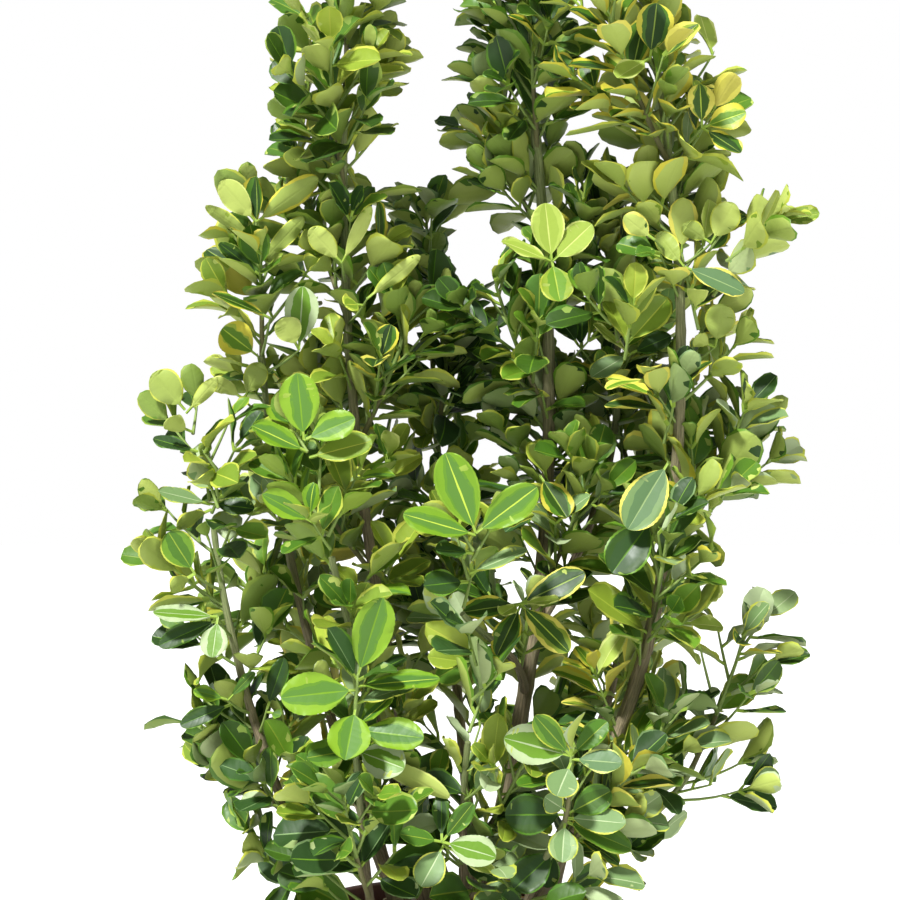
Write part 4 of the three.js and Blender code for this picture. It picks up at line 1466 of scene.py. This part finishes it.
def addTwigPiece(name, shoots, nodes, twigFinishes):
    make = twigMaker
    points, faces, slots = [], [], []
    sides = make["sides"]
    for shoot in shoots:
        path = shoot["path"]
        shares = np.linspace(0, shoot.get("end", 1), make["rings"])
        rows = framesAlong(path, shares)
        if np.linalg.norm(shoot["root"] - rows[0][0]) > 1e-4:
            rows = [(shoot["root"], *rows[0][1:])] + rows
            shares = np.concatenate([[0], shares])
        first = len(points)
        for (middle, across, other), share in zip(rows, shares):
            radius = twigRadius(shoot) * (1 - shootMaker["taper"] * share)
            for k in range(sides):
                turn = 2 * math.pi * k / sides
                out = across * math.cos(turn) + other * math.sin(turn)
                points.append((middle + out * radius).tolist())
        points.append((rows[-1][0] + tangentAt(path, shares[-1]) * make["bud"]).tolist())
        faces += [[first + v for v in face] for face in tubeFaces(sides, len(rows))]
        for share in shares[:-1]:
            slots += [0 if not shoot.get("side") and share < make["greyBelow"] else 1] * sides
        slots += [1] * sides + [0]
    dress(meshPiece(name, points, faces, slots, twigFinishes, make["smoothUnder"]), "bark", *nodes)


# Every shoot of the crown by limb, each with its draw, and the leaves placed by the photo.
def plannedShoots():
    mains = {shoot["node"]: shoot for name, limb in stems.items() for shoot in mainShootsOf(name, limb)}
    shoots = {name: [] for name in stems}
    chosen = {name: [] for name in stems}
    draw = seededRandom(shownMaker["seed"])
    for name, way, places, leaves in shown:
        shoot = shownShoot(name, way, places)
        chosen[name] += shownLeaves(shoot, leaves, draw)
        if way == "top":
            mains[shoot["node"]]["path"] = shoot["path"]
        else:
            shoots[name].append((dict(shoot, bare=True), None))
    fillKeptTables()
    for seed, main in enumerate(mains.values()):
        draw = seededRandom(seed)
        shoots[main["limb"]] += [(shoot, draw) for shoot in (main, *sideShootsOf(main, draw))]
    for seed, (name, limb) in enumerate(stems.items()):
        draw = seededRandom(100 + seed)  # past the seeds of the main shoots
        shoots[name] += [(shoot, draw) for shoot in (*extrasOf(name, limb), *spursOf(name, limb, draw))]
    return shoots, chosen


# The leaves of one shoot. Most are of its own kind, and the rest of their luck deals the others.
def leavesOn(shoot, draw):
    recipe = recipes.get(shoot["node"], usual)
    own = dealt(recipe, draw())
    ownShare = leafMaker["ownKind"]
    leaves = growLeaves(shoot, draw)
    for leaf in leaves:
        rest = (leaf["luck"] - ownShare) / (1 - ownShare)
        leaf["kind"] = own if rest < 0 else dealt(recipe, rest)
    return leaves


def growCrown():
    twigFinishes = [plainFinish(*row) for row in twigMaker["finishes"]]
    for limb in stems.values():
        count = int(limb["path"]["length"] / roomMaker["limbStep"])
        mark(pointAt(limb["path"], k / count) for k in range(count + 1))
    planned, chosen = plannedShoots()
    for name, shoots in planned.items():
        shoots[:] = [(shoot, draw) for shoot, draw in shoots if shoot.get("bare") or keepsClear(shoot)]
        for shoot, _ in shoots:
            keepTwig(shoot)
    total = 0
    for name, shoots in planned.items():
        leaves, leafy = chosen[name], []
        for shoot, draw in shoots:
            fresh = [] if shoot.get("bare") else leavesOn(shoot, draw)
            leaves += fresh
            if fresh or shoot.get("bare"):
                leafy.append(shoot)
        nodes = sorted([massOf(name), *(massOf(name, k + 1) for k in range(stems[name]["shoots"]))])
        addLeafPiece(f"{name}_leaves", leaves, nodes)
        addTwigPiece(f"{name}_twigs", leafy, nodes, twigFinishes)
        total += len(leaves)
    print("crown grown:", total, "leaves")


# The studio: a plain pale floor, a soft key from the upper left and a pale sky

studio = dict(
    floor=24.0, floorPlace=(0, 0, -0.0005), floorColour="eeeeec", floorRoughness=0.9,
    keyPower=6.0, keyAngle=8, keyTilt=(38, -6, -28),
    fillPower=14, fillSize=2.2, fillPlace=(1.9, -1.9, 1.4), fillAim=(0, 0, 0.5), skyLight=0.34,
)


def addStudio():
    bpy.ops.mesh.primitive_plane_add(size=studio["floor"], location=studio["floorPlace"])
    floor = bpy.context.object
    floor.name = "studio_floor"
    material, _, _, shader = newMaterial("paleFloor")
    shader.inputs["Base Color"].default_value = colour(studio["floorColour"])
    shader.inputs["Roughness"].default_value = studio["floorRoughness"]
    floor.data.materials.append(material)
    bpy.ops.object.light_add(type="SUN", rotation=[math.radians(a) for a in studio["keyTilt"]])
    key = bpy.context.object.data
    key.energy = studio["keyPower"]
    key.angle = math.radians(studio["keyAngle"])
    bpy.ops.object.light_add(type="AREA", location=studio["fillPlace"])
    fill = bpy.context.object
    fill.data.energy = studio["fillPower"]
    fill.data.size = studio["fillSize"]
    aim = Vector(studio["fillAim"]) - fill.location
    fill.rotation_euler = aim.to_track_quat("-Z", "Y").to_euler()
    world = bpy.data.worlds.new("paleSky")
    bpy.context.scene.world = world
    world.use_nodes = True
    nodes, links = world.node_tree.nodes, world.node_tree.links
    sky = nodes["Background"]
    seen = nodes.new("ShaderNodeLightPath").outputs["Is Camera Ray"]
    links.new(ranged(nodes, links, seen, 0, 1, studio["skyLight"], 1), sky.inputs["Strength"])
    sky.inputs["Color"].default_value = (1, 1, 1, 1)
    bpy.context.scene.view_settings.view_transform = "Standard"
    print("studio set")


addPot()
addSoil()
addLimbs()
growCrown()
addStudio()
